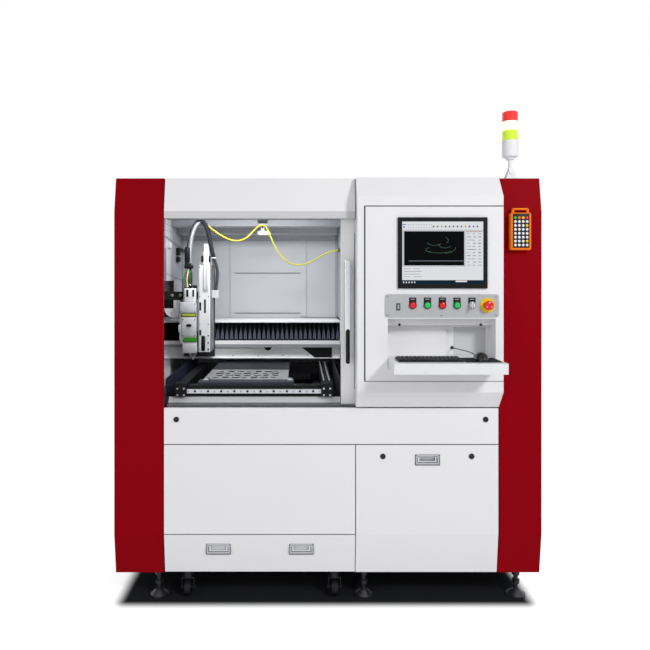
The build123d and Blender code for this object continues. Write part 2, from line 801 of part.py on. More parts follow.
def niche():
    """The folded box behind the tray opening, with a deeper cable box, a band and the tray pivots."""
    t = SKIN
    front = -CONSOLE_OUT + t
    left, right = NICHE_LEFT - t, NICHE_RIGHT + t
    box = block(left, right, front, NICHE_BACK + t, NICHE_LOW - t, NICHE_TOP + t)
    box -= block(NICHE_LEFT, NICHE_RIGHT, front - 1, NICHE_BACK, NICHE_LOW, NICHE_TOP)
    under = block(left - 1, right + 1, FLOOR_FRONT + t, NICHE_BACK + 5, NICHE_LOW - 5, TRAY_TOP - t)
    box -= under
    box += block(left, right, FLOOR_FRONT, NICHE_BACK + t, TRAY_TOP - t, TRAY_TOP)
    box += block(left, right, FLOOR_FRONT, FLOOR_FRONT + t, NICHE_LOW - t, TRAY_TOP)
    band_y = FLOOR_FRONT + 4
    box += block(left, right, band_y, band_y + t, NICHE_TOP - BAND_HEIGHT, NICHE_TOP)
    for x in CATCH_X:
        box += rod_y(band_y - 3.7, band_y, x, NICHE_TOP - BAND_HEIGHT / 2 - 4, 8)
    x0, x1, z0, z1 = CABLE_BOX
    box -= block(x0, x1, NICHE_BACK - 1, NICHE_BACK + t + 1, z0, z1)
    cable = block(x0 - t, x1 + t, NICHE_BACK, CABLE_BOX_BACK + t, z0 - t, z1 + t)
    box += cable - block(x0, x1, NICHE_BACK - 1, CABLE_BOX_BACK, z0, z1)
    box += rod_y(CABLE_BOX_BACK - 6, CABLE_BOX_BACK, CORD_HOLE[0], CORD_HOLE[1], 7)
    for x0, x1 in ((NICHE_LEFT - t, NICHE_LEFT + 5), (NICHE_RIGHT - 5, NICHE_RIGHT + t)):
        box += rod_x(x0, x1, TRAY_AXIS[0], TRAY_AXIS[1], TRAY_PIN_R)
    return box


def keyboard_tray():
    """The fold-up tray: a deep pan with a rounded rear edge, turning on two side pins."""
    t = SKIN
    left, right = NICHE_LEFT + TRAY_SIDE_GAP, NICHE_RIGHT - TRAY_SIDE_GAP
    axis_y, axis_z = TRAY_AXIS
    half = TRAY_THICK / 2
    low, high = axis_z - half, axis_z + half
    body = block(left, right, -TRAY_REACH, axis_y, low, high) + rod_x(left, right, axis_y, axis_z, half)
    hollow = block(left + t, right - t, -TRAY_REACH + t, axis_y, low - 1, high - t)
    hollow += rod_x(left + t, right - t, axis_y, axis_z, half - t)
    body -= hollow
    hem = 12
    rim = block(left, right, -TRAY_REACH, axis_y, low, low + t)
    rim -= block(left + hem, right - hem, -TRAY_REACH + hem, axis_y + 1, low - 1, low + t + 1)
    tray = body + rim
    for x0, x1 in ((left, left + 8), (right - 8, right)):
        tray += rod_x(x0, x1, axis_y, axis_z, TRAY_PIN_R + 6)
    tray -= rod_x(left - 1, left + 9, axis_y, axis_z, TRAY_PIN_R + RUNNING)
    return tray - rod_x(right - 9, right + 1, axis_y, axis_z, TRAY_PIN_R + RUNNING)


def keyboard():
    """A compact wedge keyboard with its key rows."""
    x0, x1, y0, y1 = KEYBOARD
    z = TRAY_TOP
    wedge = [(y0, z), (y1, z), (y1, z + KEYBOARD_HIGH), (y0, z + KEYBOARD_LOW)]
    body = prism_x(wedge, x0, x1)
    margin = 5
    key_high = 4.5
    pitch_y = (y1 - y0 - 2 * margin) / KEY_ROWS
    pitch_x = (x1 - x0 - 2 * margin) / KEY_COLUMNS
    slope = (KEYBOARD_HIGH - KEYBOARD_LOW) / (y1 - y0)
    space_bar = range(4, 10)
    keys = []
    for row in range(KEY_ROWS):
        ky = y0 + margin + pitch_y * row
        kz = z + KEYBOARD_LOW + slope * (ky - y0)
        for column in range(KEY_COLUMNS):
            kx = x0 + margin + pitch_x * column
            if row == 0 and column in space_bar:
                continue
            keys.append(block(kx + 1, kx + pitch_x - 1, ky + 1, ky + pitch_y - 1, kz - 1, kz + key_high))
    bar0 = x0 + margin + pitch_x * space_bar[0]
    bar1 = bar0 + pitch_x * len(space_bar)
    bar_y = y0 + margin
    top = z + KEYBOARD_LOW + key_high
    keys.append(block(bar0 + 1, bar1 - 1, bar_y + 1, bar_y + pitch_y - 1, z + KEYBOARD_LOW - 1, top))
    return body + keys


def mouse():
    """A two-button mouse with its wheel, as one rounded body."""
    x, y, z = MOUSE_AT
    body = Pos(x, y, z) * scale(Sphere(1), by=(MOUSE_HALF[0], MOUSE_HALF[1], MOUSE_HALF[2]))
    body &= block(x - 60, x + 60, y - 80, y + 80, z, z + 80)
    wheel = rod_x(x - 4, x + 4, y + 30, z + 26, 9)
    return body + wheel


# Sliding door
def door_frame():
    """The door frame with a glazing rebate behind."""
    x0, x1 = DOOR_LEFT, DOOR_LEFT + DOOR_WIDTH
    y0, y1 = DOOR_FRONT, DOOR_FRONT + DOOR_THICK
    frame = block(x0, x1, y0, y1, DOOR_BOTTOM, DOOR_TOP)
    ix0, ix1, iz0, iz1 = door_glass_opening()
    frame -= block(ix0, ix1, y0 - 1, y1 + 1, iz0, iz1)
    return frame - block(ix0 - REBATE, ix1 + REBATE, GLASS_Y, y1 + 1, iz0 - REBATE, iz1 + REBATE)


def door_glass_opening():
    """x0, x1, z0, z1 of the clear opening in the door frame."""
    return (
        DOOR_LEFT + DOOR_STILE,
        DOOR_LEFT + DOOR_WIDTH - DOOR_STILE,
        DOOR_BOTTOM + DOOR_RAIL_WIDE,
        DOOR_TOP - DOOR_RAIL_WIDE,
    )


def door_window():
    """The laser-safe pane in the door's rebate."""
    x0, x1, z0, z1 = door_glass_opening()
    edge = REBATE - 0.5
    return block(x0 - edge, x1 + edge, GLASS_Y, GLASS_Y + GLASS_THICK, z0 - edge, z1 + edge)


def door_handle():
    """A long upright pull on two feet."""
    low, high = HANDLE_Z
    y1 = DOOR_FRONT - HANDLE_OUT + 12
    y0 = DOOR_FRONT - HANDLE_OUT
    half = HANDLE_HALF
    bar = block(HANDLE_X - half, HANDLE_X + half, y0, y1, low + half, high - half)
    for z in (low + half, high - half):
        bar += rod_y(y0, y1, HANDLE_X, z, half)
    for z in (low + 35, high - 35):
        bar += rod_y(y1 - 2, DOOR_FRONT, HANDLE_X, z, 7)
    return bar


def door_rails():
    """The lower and upper U-rails that guide the sliding door."""
    y0 = DOOR_FRONT - DOOR_SIDE_GAP - RAIL_WALL
    y1 = DOOR_FRONT + DOOR_THICK + DOOR_SIDE_GAP + RAIL_WALL
    x0, x1 = PILLAR_LEFT_INNER, DOOR_LEFT + DOOR_WIDTH + 3
    inner = (y0 + RAIL_WALL, y1 - RAIL_WALL)
    lower = block(x0, x1, y0, y1, RAIL_BASE, DOOR_BOTTOM - SEAT_GAP)
    lower -= block(x0 - 1, x1 + 1, *inner, RAIL_BASE + RAIL_WALL, DOOR_BOTTOM + 1)
    pad = block(x0, x1, *inner, RAIL_BASE + RAIL_WALL, DOOR_BOTTOM - 10)
    lower += pad
    track = block(x0, x1, DOOR_FRONT + 8, DOOR_FRONT + 14, DOOR_BOTTOM - 10, DOOR_BOTTOM - SEAT_GAP)
    upper = block(x0, x1, y0, y1, WINDOW_TOP, RAIL_CROWN)
    upper -= block(x0 - 1, x1 + 1, *inner, WINDOW_TOP - 1, RAIL_CROWN - RAIL_WALL)
    return [lower + track, upper]


# Front flaps, drawer, locks and bail pulls


def lock(x, z, tongue_y, aim):
    """A quarter-turn lock: face with a slot, barrel and a tongue aimed at (x, z)."""
    y = front_line(z)
    face = rod_y(y - 3, y, x, z, LOCK_R + 2)
    face -= block(x - 1.2, x + 1.2, y - 4, y - 1, z - 7, z + 7)
    tongue_back = tongue_y + TONGUE_THICK
    barrel = rod_y(y - 1, tongue_back, x, z, LOCK_R)
    half_x, half_z = TONGUE_HALF * abs(aim[1]), TONGUE_HALF * abs(aim[0])
    reach_x = sorted((x - half_x, x + half_x + TONGUE_LONG * aim[0]))
    reach_z = sorted((z - half_z + TONGUE_LONG * aim[1], z + half_z))
    return face + barrel + block(*reach_x, tongue_y, tongue_back, *reach_z)


def lock_hole(x, z):
    """The hole that a lock turns in."""
    y = front_line(z)
    return rod_y(y - 5, y + 10, x, z, LOCK_R + RUNNING)


def sill_flap():
    """The long flap under the window and the console, turning on two end pins low in its sides."""
    left = PILLAR_LEFT_INNER + PANEL_GAP
    right = PILLAR_RIGHT_INNER - PANEL_GAP
    flap = pan(left, right, SILL_SEAM + 2, SILL_TOP - 2, SILL_DEEP)
    for x in SILL_LOCKS:
        flap -= lock_hole(x, SILL_LOCK_Z)
    flap -= rod_x(left - 1, left + 6, *SILL_AXIS, BAIL_R + RUNNING)
    return flap - rod_x(right - 6, right + 1, *SILL_AXIS, BAIL_R + RUNNING)


def pull_pan(x, z):
    """A screwed plate with a recess for a bail, and the cutter that clears the cover for it."""
    y = front_line(z)
    wide, high = PULL_WIDE / 2, PULL_HIGH / 2
    cup = 6
    plate = block(x - wide, x + wide, y - SKIN, y + 1, z - high, z + high)
    cup_x = (x - wide + cup, x + wide - cup)
    cup_z = (z - high + cup, z + high - cup)
    plate += block(*cup_x, y, y + PULL_RECESS + SKIN, *cup_z)
    recess_x = (cup_x[0] + SKIN, cup_x[1] - SKIN)
    plate -= block(*recess_x, y - 5, y + PULL_RECESS, cup_z[0] + SKIN, cup_z[1] - SKIN)
    for sx in (-1, 1):
        ends = sorted((x + sx * (wide - 3), x + sx * (wide - 12)))
        plate -= rod_x(*ends, *bail_axis(x, z)[1:], BAIL_PIN_R + RUNNING)
        for sz in (-1, 1):
            plate += rod_y(y - SKIN - 1.5, y, x + sx * (wide - 3), z + sz * (high - 4), 2.4)
    return plate, block(*cup_x, y - 5, y + 10, *cup_z)


def bail_axis(x, z):
    """(x, y, z) of a bail's pivot line, near the top of its recess."""
    return x, front_line(z) + 4, z + PULL_HIGH / 2 - 13


def bail(x, z):
    """A U-shaped wire handle hanging in its recess on two short pins."""
    _, y, axis_z = bail_axis(x, z)
    half = PULL_WIDE / 2 - 12
    low = z - PULL_HIGH / 2 + 13
    pieces = [rod_x(x - half, x + half, y, low, BAIL_R)]
    for side in (-1, 1):
        leg_x = x + side * (half - BAIL_R)
        pieces.append(rod_z(low, axis_z, leg_x, y, BAIL_R))
        ends = sorted((leg_x - side * BAIL_R, leg_x + side * 6.5))
        pieces.append(rod_x(*ends, y, axis_z, BAIL_PIN_R))
        pieces.append(Pos(leg_x, y, axis_z) * Sphere(BAIL_R))
        pieces.append(Pos(x + side * half, y, low) * Sphere(BAIL_R))
    return fused(pieces)


def service_flap():
    """The lower right cover, turning on two low end pins."""
    left, right = SEAM_X + 2, PILLAR_RIGHT_INNER - PANEL_GAP
    flap = pan(left, right, CABINET_BOTTOM + 2, SILL_SEAM - 2)
    for x in SERVICE_LOCKS:
        flap -= lock_hole(x, SERVICE_LOCK_Z)
    plate, opening = pull_pan(*SERVICE_PULL)
    flap = flap - opening + plate
    flap -= rod_x(left - 1, left + 6, *service_axis(), BAIL_R + RUNNING)
    return flap - rod_x(right - 6, right + 1, *service_axis(), BAIL_R + RUNNING)


def scrap_drawer():
    """The drawer: a folded front with two pulls and a scrap tray behind it."""
    left, right = PILLAR_LEFT_INNER + PANEL_GAP, SEAM_X - 2
    front = pan(left, right, CABINET_BOTTOM + 4, KNEE_LOW - 2)
    t = SKIN
    outer = [
        (front_line(DRAWER_LOW) + 1, DRAWER_LOW),
        (front_line(DRAWER_HIGH) + 1, DRAWER_HIGH),
        (DRAWER_BACK, DRAWER_HIGH),
        (DRAWER_BACK, DRAWER_LOW),
    ]
    inner = [
        (front_line(DRAWER_LOW) + t, DRAWER_LOW + t),
        (front_line(DRAWER_HIGH) + t, DRAWER_HIGH + 1),
        (DRAWER_BACK - t, DRAWER_HIGH + 1),
        (DRAWER_BACK - t, DRAWER_LOW + t),
    ]
    box_left = left + 6
    tub = prism_x(outer, box_left, DRAWER_RIGHT) - prism_x(inner, box_left + t, DRAWER_RIGHT - t)
    drawer = front + tub
    drawer -= prism_x(inner, box_left + t, DRAWER_RIGHT - t)
    for x in DRAWER_PULLS:
        plate, opening = pull_pan(x, DRAWER_PULL_Z)
        drawer = drawer - opening + plate
    return drawer


# Chamber
def chamber_liner():
    """The welded inner walls, back and stepped ceiling of the cutting chamber."""
    t = SKIN
    x0, x1 = CHAMBER_LEFT, CHAMBER_RIGHT
    back = CHAMBER_BACK
    liner = block(x0 - t, x1 + t, CHAMBER_FRONT, back + t, CHAMBER_LOW, CEILING)
    liner -= block(x0, x1, CHAMBER_FRONT - 1, back, CHAMBER_LOW - 1, CEILING - t)
    liner -= block(x0 - 5, x0 + 5, BEAM_CUT_FRONT, back + 5, CHAMBER_LOW - 1, BEAM_CUT_TOP)
    liner -= block(x1 - 5, x1 + 5, BEAM_CUT_RIGHT, back + 5, CHAMBER_LOW - 1, BEAM_TOP + 16)
    liner -= block(x0 - 5, x1 + 5, back - 5, back + 5, CHAMBER_LOW - 1, BEAM_LOW)
    step = [(STEP_Y[0], CEILING - t), (STEP_Y[0], STEP_Z[0]), (STEP_Y[1], STEP_Z[0])]
    step += [(STEP_Y[1], STEP_Z[1]), (back, STEP_Z[1]), (back, STEP_Z[1] + t)]
    step += [(STEP_Y[1] + t, STEP_Z[1] + t), (STEP_Y[1] + t, STEP_Z[0] + t)]
    step += [(STEP_Y[0] + t, STEP_Z[0] + t), (STEP_Y[0] + t, CEILING - t)]
    liner += prism_x(step, x0, x1)
    proud = 5
    flange_low = STEP_Z[1] - 27
    liner += block(x0, x1, back - 3, back, flange_low, STEP_Z[1])
    liner += block(RIB_POST[0], RIB_POST[1], back - proud, back, BEAM_TOP + 20, flange_low)
    for z in RIB_Z:
        liner += block(RIB_X[0], RIB_X[1], back - 4, back, z - 4, z + 4)
    liner += block(x0, x0 + 4, HATCH[0], HATCH[1], HATCH[2], HATCH[3])
    liner += rod_x(x1 - 8, x1, CABLE_GLAND[0], CABLE_GLAND[1], 11)
    liner += block(x0, x0 + 16, 600, 640, 1602, 1634)
    return liner


def machine_bed():
    """The table bed: two long beams with their slide rails and two cross beams."""
    front, rear = BED_FRONT, BED_REAR
    rail_y = (front + 10, rear - 10)
    pieces = []
    for x0 in BED_BEAM_X:
        beam = block(x0, x0 + BED_BEAM_WIDE, front, rear, BED_LOW, BED_TOP)
        core = block(x0 + 14, x0 + BED_BEAM_WIDE - 14, front - 1, rear + 1, BED_LOW + 14, BED_TOP - 20)
        pieces.append(beam - core)
        rail_x = x0 + BED_BEAM_WIDE / 2
        half = Y_RAIL_WIDE / 2
        pieces.append(block(rail_x - half, rail_x + half, *rail_y, BED_TOP, Y_RAIL_TOP))
    inner0, inner1 = BED_BEAM_X[0] + BED_BEAM_WIDE, BED_BEAM_X[1]
    for y0, y1 in ((front + 80, front + 140), (rear - 140, rear - 80)):
        pieces.append(block(inner0 - 2, inner1 + 2, y0, y1, BED_LOW, BED_LOW + 120))
    return fused(pieces)


def slide_covers():
    """The sloped front apron and the two side guards of the table slides, as one folded sheet."""
    t = SKIN
    front = CHAMBER_FRONT
    low = DOOR_BOTTOM - 10
    slope = [(front, low), (front + 30, low + 30), (front + 33, low + 30), (front + 3, low)]
    x0, x1 = CHAMBER_LEFT, CHAMBER_RIGHT
    cover = prism_x(slope, x0, x1)
    cover += block(x0, x1, front, front + t, low - 30, low + 1)
    far = CHAMBER_BACK - 20
    for strip0, strip1, wall in ((x0, GUARD_X[0], GUARD_X[0] - t), (GUARD_X[1], x1, GUARD_X[1])):
        cover += block(strip0, strip1, front, far, low - t, low)
        cover += block(wall, wall + t, front + 36, far, low - t, GUARD_TOP)
    return cover


def gantry_beam():
    """The fixed cross beam on two columns, with its rails, covers and bellows end plates."""
    left, right = POST_LEFT + 5, POST_MID + MEMBER - 2
    wall = BEAM_WALL
    beam = block(left, right, BEAM_FACE, BEAM_BACK, BEAM_LOW, BEAM_TOP)
    core_z = (BEAM_LOW + wall, BEAM_TOP - wall)
    pieces = [beam - block(left - 1, right + 1, BEAM_FACE + wall, BEAM_BACK - wall, *core_z)]
    for x0, x1 in ((left, POST_LEFT + MEMBER), (POST_MID + 3, right)):
        column = block(x0, x1, BEAM_FACE - 2 * wall, BEAM_BACK, BED_LOW, BEAM_LOW + 2)
        core = block(x0 + wall, x1 - wall, BEAM_FACE - wall, BEAM_BACK + 1, BED_LOW - 1, BEAM_LOW - wall)
        pieces.append(column - core)
    rail_y = (BEAM_FACE - X_RAIL_DEEP, BEAM_FACE + 1)
    for z in X_RAIL_HEIGHTS:
        pieces.append(block(COVER_LEFT, COVER_RIGHT - 3, *rail_y, z - X_RAIL_HALF, z + X_RAIL_HALF))
    cover_top = BEAM_TOP + 6
    pieces.append(block(COVER_LEFT, COVER_RIGHT, COVER_FRONT, CHAMBER_BACK - 8, BEAM_TOP, cover_top))
    ledge = block(COVER_LEFT, COVER_RIGHT, LEDGE_FRONT, BEAM_FACE + 1, LEDGE_LOW, LEDGE_TOP)
    under = (LEDGE_FRONT + 3, BEAM_FACE, LEDGE_LOW - 1, LEDGE_TOP - 3)
    ledge -= block(COVER_LEFT - 1, COVER_RIGHT + 1, *under)
    ledge += block(COVER_LEFT, COVER_RIGHT, BEAM_FACE - 4, BEAM_FACE + 1, LEDGE_LOW, LEDGE_TOP)
    pieces.append(ledge)
    skirt_y = LEDGE_FRONT + 21
    skirt_back = skirt_y + 4
    pieces.append(block(COVER_LEFT, COVER_RIGHT, skirt_y, skirt_back, SKIRT_LOW, LEDGE_TOP - 1))
    pieces.append(block(COVER_LEFT, COVER_RIGHT, skirt_y - 10, skirt_back, SKIRT_LOW, SKIRT_LOW + 4))
    for x0 in (COVER_LEFT - 4, COVER_RIGHT):
        pieces.append(block(x0, x0 + 4, COVER_FRONT, BEAM_FACE + 1, LEDGE_LOW, cover_top))
    return fused(pieces)


def bellows(x0, x1, folds):
    """A folded slide cover: a zigzag skin between two end plates."""
    pitch = (x1 - x0) / folds
    near, far = [], []
    for step in range(2 * folds + 1):
        x = x0 + pitch * step / 2
        y = FOLD_BACK - FOLD_SKIN if step % 2 == 0 else FOLD_FRONT
        near.append((x, y))
        far.append((x, y + FOLD_SKIN))
    return prism_z(near + far[::-1], LEDGE_TOP + 2, BEAM_TOP - 2)


def x_carriage():
    """The beam carriage with its runner blocks, the upright drive box and the hose arms."""
    front = CARRIAGE_FRONT
    back = front + CARRIAGE_THICK
    pieces = [
        block(CARRIAGE_LEFT, CARRIAGE_RIGHT, front, back, CARRIAGE_LOW, CARRIAGE_TOP),
        block(UPRIGHT_LEFT, CARRIAGE_RIGHT, front, back, CARRIAGE_TOP - 5, Z_BOX_TOP),
    ]
    slot = X_RAIL_HALF + SEAT_GAP
    rail_front = BEAM_FACE - X_RAIL_DEEP - SEAT_GAP
    for z in X_RAIL_HEIGHTS:
        runner = block(CARRIAGE_LEFT + 12, CARRIAGE_RIGHT - 12, back - 1, BEAM_FACE - 4, z - 20, z + 20)
        runner -= block(CARRIAGE_LEFT, CARRIAGE_RIGHT, rail_front, BEAM_FACE + 1, z - slot, z + slot)
        pieces.append(runner)
    box = block(Z_BOX_LEFT, Z_BOX_RIGHT, HEAD_FRONT, front + 1, Z_BOX_LOW, Z_BOX_TOP)
    pieces.append(chamfer(box.edges().filter_by(Axis.Z).group_by(Axis.Y)[0], Z_BOX_CHAMFER))
    rail_z = (Z_BOX_LOW + 20, Z_BOX_TOP - 30)
    pieces.append(block(Z_BOX_LEFT - Z_RAIL_THICK, Z_BOX_LEFT + 1, *Z_RAIL_Y, *rail_z))
    pieces.append(rod_z(Z_BOX_TOP - 1, Z_BOX_TOP + MOTOR_HIGH, *MOTOR_AT, MOTOR_R))
    pieces.append(block(*STALK, front, Z_BOX_TOP - 5, STALK_TOP))
    pieces.append(block(*STALK, front + 10, Z_BOX_TOP - 10, Z_BOX_TOP + 2))
    arm_front = front + 1 - 2 * ARM_THICK
    pieces.append(block(*UPPER_ARM[:2], arm_front, front + 1, *UPPER_ARM[2:]))
    pieces.append(block(*LOWER_ARM[:2], arm_front + 1 - ARM_THICK, arm_front + 1, *LOWER_ARM[2:]))
    clamp_z = (CLAMP_TOP - CLAMP_HIGH, CLAMP_TOP)
    pieces.append(block(Z_BOX_RIGHT - 1, CLAMP_X + CLAMP_HALF, *CLAMP_Y, *clamp_z))
    return fused(pieces)


def cutting_head():
    """The cutting head: body, collimator, cable connector, sensor and nozzle on its slide plate."""
    mid_x = (HEAD_LEFT + HEAD_RIGHT) / 2
    mid_y = (HEAD_FRONT + HEAD_BACK) / 2
    shoulder = HEAD_LOW + HEAD_SHOULDER
    narrow = HEAD_LEFT + HEAD_NARROW
    body = block(HEAD_LEFT, HEAD_RIGHT, HEAD_FRONT, HEAD_BACK, shoulder - 2, HEAD_HIGH)
    body = chamfer(body.edges().filter_by(Axis.Z), 5)
    lower = [
        (HEAD_LEFT, shoulder),
        (narrow, shoulder - 27),
        (narrow, HEAD_LOW),
        (HEAD_RIGHT, HEAD_LOW),
        (HEAD_RIGHT, shoulder),
    ]
    pieces = [body, prism_y(lower, HEAD_FRONT + 4, HEAD_BACK - 4)]
    neck = HEAD_HIGH + 70
    taper_top = neck + 26
    pieces.append(rod_z(HEAD_HIGH - 1, neck, mid_x, mid_y, COLLIMATOR_R))
    pieces.append(cone_z(neck - 1, taper_top, mid_x, mid_y, COLLIMATOR_R, CONNECTOR_R))
    pieces.append(rod_z(taper_top - 1, HOSE_START, mid_x, mid_y, CONNECTOR_R))
    pieces.append(cone_z(NOZZLE_NECK, HEAD_LOW + 1, NOZZLE_X, mid_y, 15, 26))
    pieces.append(cone_z(NOZZLE_TIP, NOZZLE_NECK + 1, NOZZLE_X, mid_y, 4, 12))
    slide = Z_BOX_LEFT - Z_RAIL_THICK - SEAT_GAP
    plate_y = SLIDE_PLATE_Y
    pieces.append(block(HEAD_RIGHT - 1, slide, plate_y, HEAD_BACK, *SLIDE_PLATE_Z))
    for y0, y1 in ((plate_y, Z_RAIL_Y[0] - SEAT_GAP), (Z_RAIL_Y[1] + SEAT_GAP, HEAD_BACK)):
        pieces.append(block(slide - 1, Z_BOX_LEFT - 1, y0, y1, *SLIDE_PLATE_Z))
    head = fused(pieces)
    return head - rod_z(NOZZLE_TIP - 1, NOZZLE_TIP + 20, NOZZLE_X, mid_y, 1)


def cord_tube(name, route, diameter):
    """A round cord along straight runs joined by arcs that are as large as the runs allow."""
    points = [Vector(*point) for point in route]
    radii = []
    for before, corner, after in zip(points, points[1:], points[2:]):
        turn = math.radians((corner - before).get_angle(after - corner))
        shorter = min((corner - before).length, (after - corner).length)
        radii.append(0.45 * shorter / math.tan(turn / 2))
    print(name, "arc radii", [round(r) for r in radii])
    path = FilletPolyline(*points, radius=radii)
    start = Plane(origin=points[0], z_dir=points[1] - points[0])
    tube = sweep(start * Circle(diameter / 2), path=path)
    print(name, "volume over section times length", tube.volume / (math.pi * diameter**2 / 4 * path.length))
    return tube


def cable_bracket():
    """The hanger plate under the ceiling step, with its peg and the round cable guide below."""
    x = -330
    y = STEP_Y[0]
    plate = block(x - 27, x + 27, y - 6, y, STEP_Z[0] + 10, STEP_Z[0] + 36)
    guide_z = STEP_Z[0] - 37
    plate += rod_y(y - 30, y - 4, x, STEP_Z[0] - 6, 6)
    plate += block(x - 8, x + 8, y - 6, y, guide_z, STEP_Z[0] + 12)
    guide = rod_x(x - 20, x + 34, y + 12, guide_z, 13)
    guide += rod_x(x - 28, x + 42, y + 12, guide_z, 9)
    return plate + guide


def table_frame():
    """The moving work frame: bars, end blocks, the front rail, runners and sheet supports."""
    left, right = TABLE_LEFT, TABLE_RIGHT
    front, rear = TABLE_FRONT, TABLE_REAR
    inner0, inner1 = left + END_BLOCK_WIDE, right - END_BLOCK_WIDE
    pieces = [block(inner0 - 1, inner1 + 1, front, front + 40, TABLE_LOW + 1, TABLE_TOP - 4)]
    rail = block(inner0 - 1, inner1 + 1, front - 15, front + 1, TABLE_LOW + 16, TABLE_LOW + 34)
    count = int((inner1 - inner0) // HOLE_PITCH)
    first = (inner0 + inner1) / 2 - HOLE_PITCH * count / 2
    for index in range(count + 1):
        rail -= rod_y(front - 16, front - 6, first + HOLE_PITCH * index, TABLE_LOW + 25, 4.5)
    pieces.append(rail)
    for x0, x1 in ((left, inner0), (inner1, right)):
        end = block(x0, x1, front - 20, front + 41, TABLE_LOW + 4, TABLE_TOP + 8)
        for sx in (14, END_BLOCK_WIDE - 14):
            for z in (TABLE_LOW + 20, TABLE_TOP - 8):
                end += rod_y(front - 22.5, front - 19, x0 + sx, z, 4)
        pieces.append(end)
    for x0, x1 in ((left, left + SIDE_BEAM_WIDE), (right - SIDE_BEAM_WIDE, right)):
        pieces.append(block(x0, x1, front + 40, rear, TABLE_LOW, TABLE_TOP))
    pieces.append(block(left, right, rear - 40, rear, TABLE_LOW, TABLE_TOP))
    under = SHEET_TOP - SHEET_THICK
    shelf_x = (SHEET_LEFT - 17, SHEET_RIGHT + 29)
    pieces.append(block(*shelf_x, front + 12, SHEET_FRONT + 14, TABLE_TOP - 6, under))
    pieces.append(block(SHEET_LEFT, SHEET_RIGHT, SHEET_BACK - 16, rear, TABLE_TOP - 8, under))
    pieces.append(block(SHEET_LEFT, SHEET_RIGHT, SHEET_BACK + 1, rear - 4, under - 1, SHEET_TOP + 1))
    half = Y_RAIL_WIDE / 2 + SEAT_GAP
    for bed_x in BED_BEAM_X:
        x = bed_x + BED_BEAM_WIDE / 2
        for y0, y1 in ((front + 100, front + 180), (rear - 140, rear - 60)):
            runner = block(x - 22, x + 22, y0, y1, BED_TOP + 6, TABLE_LOW + 1)
            runner -= block(x - half, x + half, y0 - 1, y1 + 1, BED_TOP, Y_RAIL_TOP + SEAT_GAP)
            pieces.append(runner)
    return fused(pieces)


def work_sheet():
    """The clamped sheet with its nested cut-outs."""
    sheet = block(SHEET_LEFT, SHEET_RIGHT, SHEET_FRONT, SHEET_BACK, SHEET_TOP - SHEET_THICK, SHEET_TOP)
    cuts = []
    cell = 46
    for column in range(7):
        for row in range(4):
            x = SHEET_LEFT + 36 + cell * column + 9 * (row % 2)
            y = SHEET_FRONT + 34 + 58 * row
            wide = 24 + 6 * ((column + row) % 3)
            deep = 22 + 7 * ((2 * column + row) % 3)
            cuts.append(block(x, x + wide, y, y + deep, 900, 1000))
            if (column + row) % 2 == 0:
                cuts.append(rod_z(900, 1000, x + wide, y + deep, 7))
    return sheet - cuts


def sheet_clamp(x):
    """A small edge clamp: foot, finger over the sheet and a screw head."""
    under = SHEET_TOP - SHEET_THICK
    y = TABLE_FRONT + 16
    clamp = block(x - 12.5, x + 12.5, y, y + 26, under, under + 10)
    clamp += block(x - 9, x + 9, y + 20, SHEET_FRONT + 12, SHEET_TOP, under + 8)
    return clamp + rod_z(under + 10, under + 14, x, y + 13, 9)


# Console fittings
def monitor():
    """The built-in monitor: bezel in front of the door, body behind it."""
    left, right, low, high = MONITOR
    front = -CONSOLE_OUT
    bezel = block(left, right, front - 8, front, low, high)
    rim = 18
    bezel -= block(left + rim, right - rim, front - 9, front - 5, low + rim, high - rim)
    lip = MONITOR_LIP
    return bezel + block(left + lip, right - lip, front - 1, front + 34, low + lip, high - lip)


def button_plate():
    """The screwed control plate with its collars, label plates and the data port."""
    x0, x1, z0, z1 = PLATE
    front = -CONSOLE_OUT - PLATE_THICK
    plate = block(x0, x1, front, -CONSOLE_OUT, z0, z1)
    plate = fillet(plate.edges().filter_by(Axis.Y), 12)
    for x in (*BUTTON_X, KEY_X):
        plate += rod_y(front - 7, front + 1, x, CONTROL_Z, BUTTON_R + 2.5)
        plate += block(x - 15.5, x + 15.5, front - 1.5, front + 1, CONTROL_Z + 6, CONTROL_Z + 33)
        plate -= rod_y(front - 8, 0, x, CONTROL_Z, BUTTON_R + 0.1)
    plate += rod_y(front - 3, front + 1, ESTOP_X, CONTROL_Z, 31)
    plate -= rod_y(front - 4, 0, ESTOP_X, CONTROL_Z, STEM_R + 1)
    plate += block(PORT_X - 8, PORT_X + 8, front - 2, front + 1, CONTROL_Z - 22, CONTROL_Z + 8)
    for x in (x0 + 11, (x0 + x1) / 2, x1 - 11):
        for z in (z0 + 10, z1 - 10):
            plate += rod_y(front - 2, front + 1, x, z, 4)
    return plate


def push_button(x):
    """A round push-button cap on its stem."""
    front = -CONSOLE_OUT - PLATE_THICK
    cap = rod_y(front - 11, front - 2, x, CONTROL_Z, BUTTON_R)
    return cap + rod_y(front - 3, -CONSOLE_OUT + 16, x, CONTROL_Z, STEM_R)


def key_switch():
    """The key barrel with its key standing in it."""
    front = -CONSOLE_OUT - PLATE_THICK
    barrel = rod_y(front - 9, front - 1, KEY_X, CONTROL_Z, BUTTON_R - 1)
    barrel += rod_y(front - 2, -CONSOLE_OUT + 14, KEY_X, CONTROL_Z, STEM_R)
    barrel += block(KEY_X - 1.5, KEY_X + 1.5, front - 22, front - 8, CONTROL_Z - 5, CONTROL_Z + 5)
    bow = rod_x(KEY_X - 1.5, KEY_X + 1.5, front - 30, CONTROL_Z - 1, 12)
    return barrel + bow - rod_x(KEY_X - 3, KEY_X + 3, front - 33, CONTROL_Z - 3, 4)


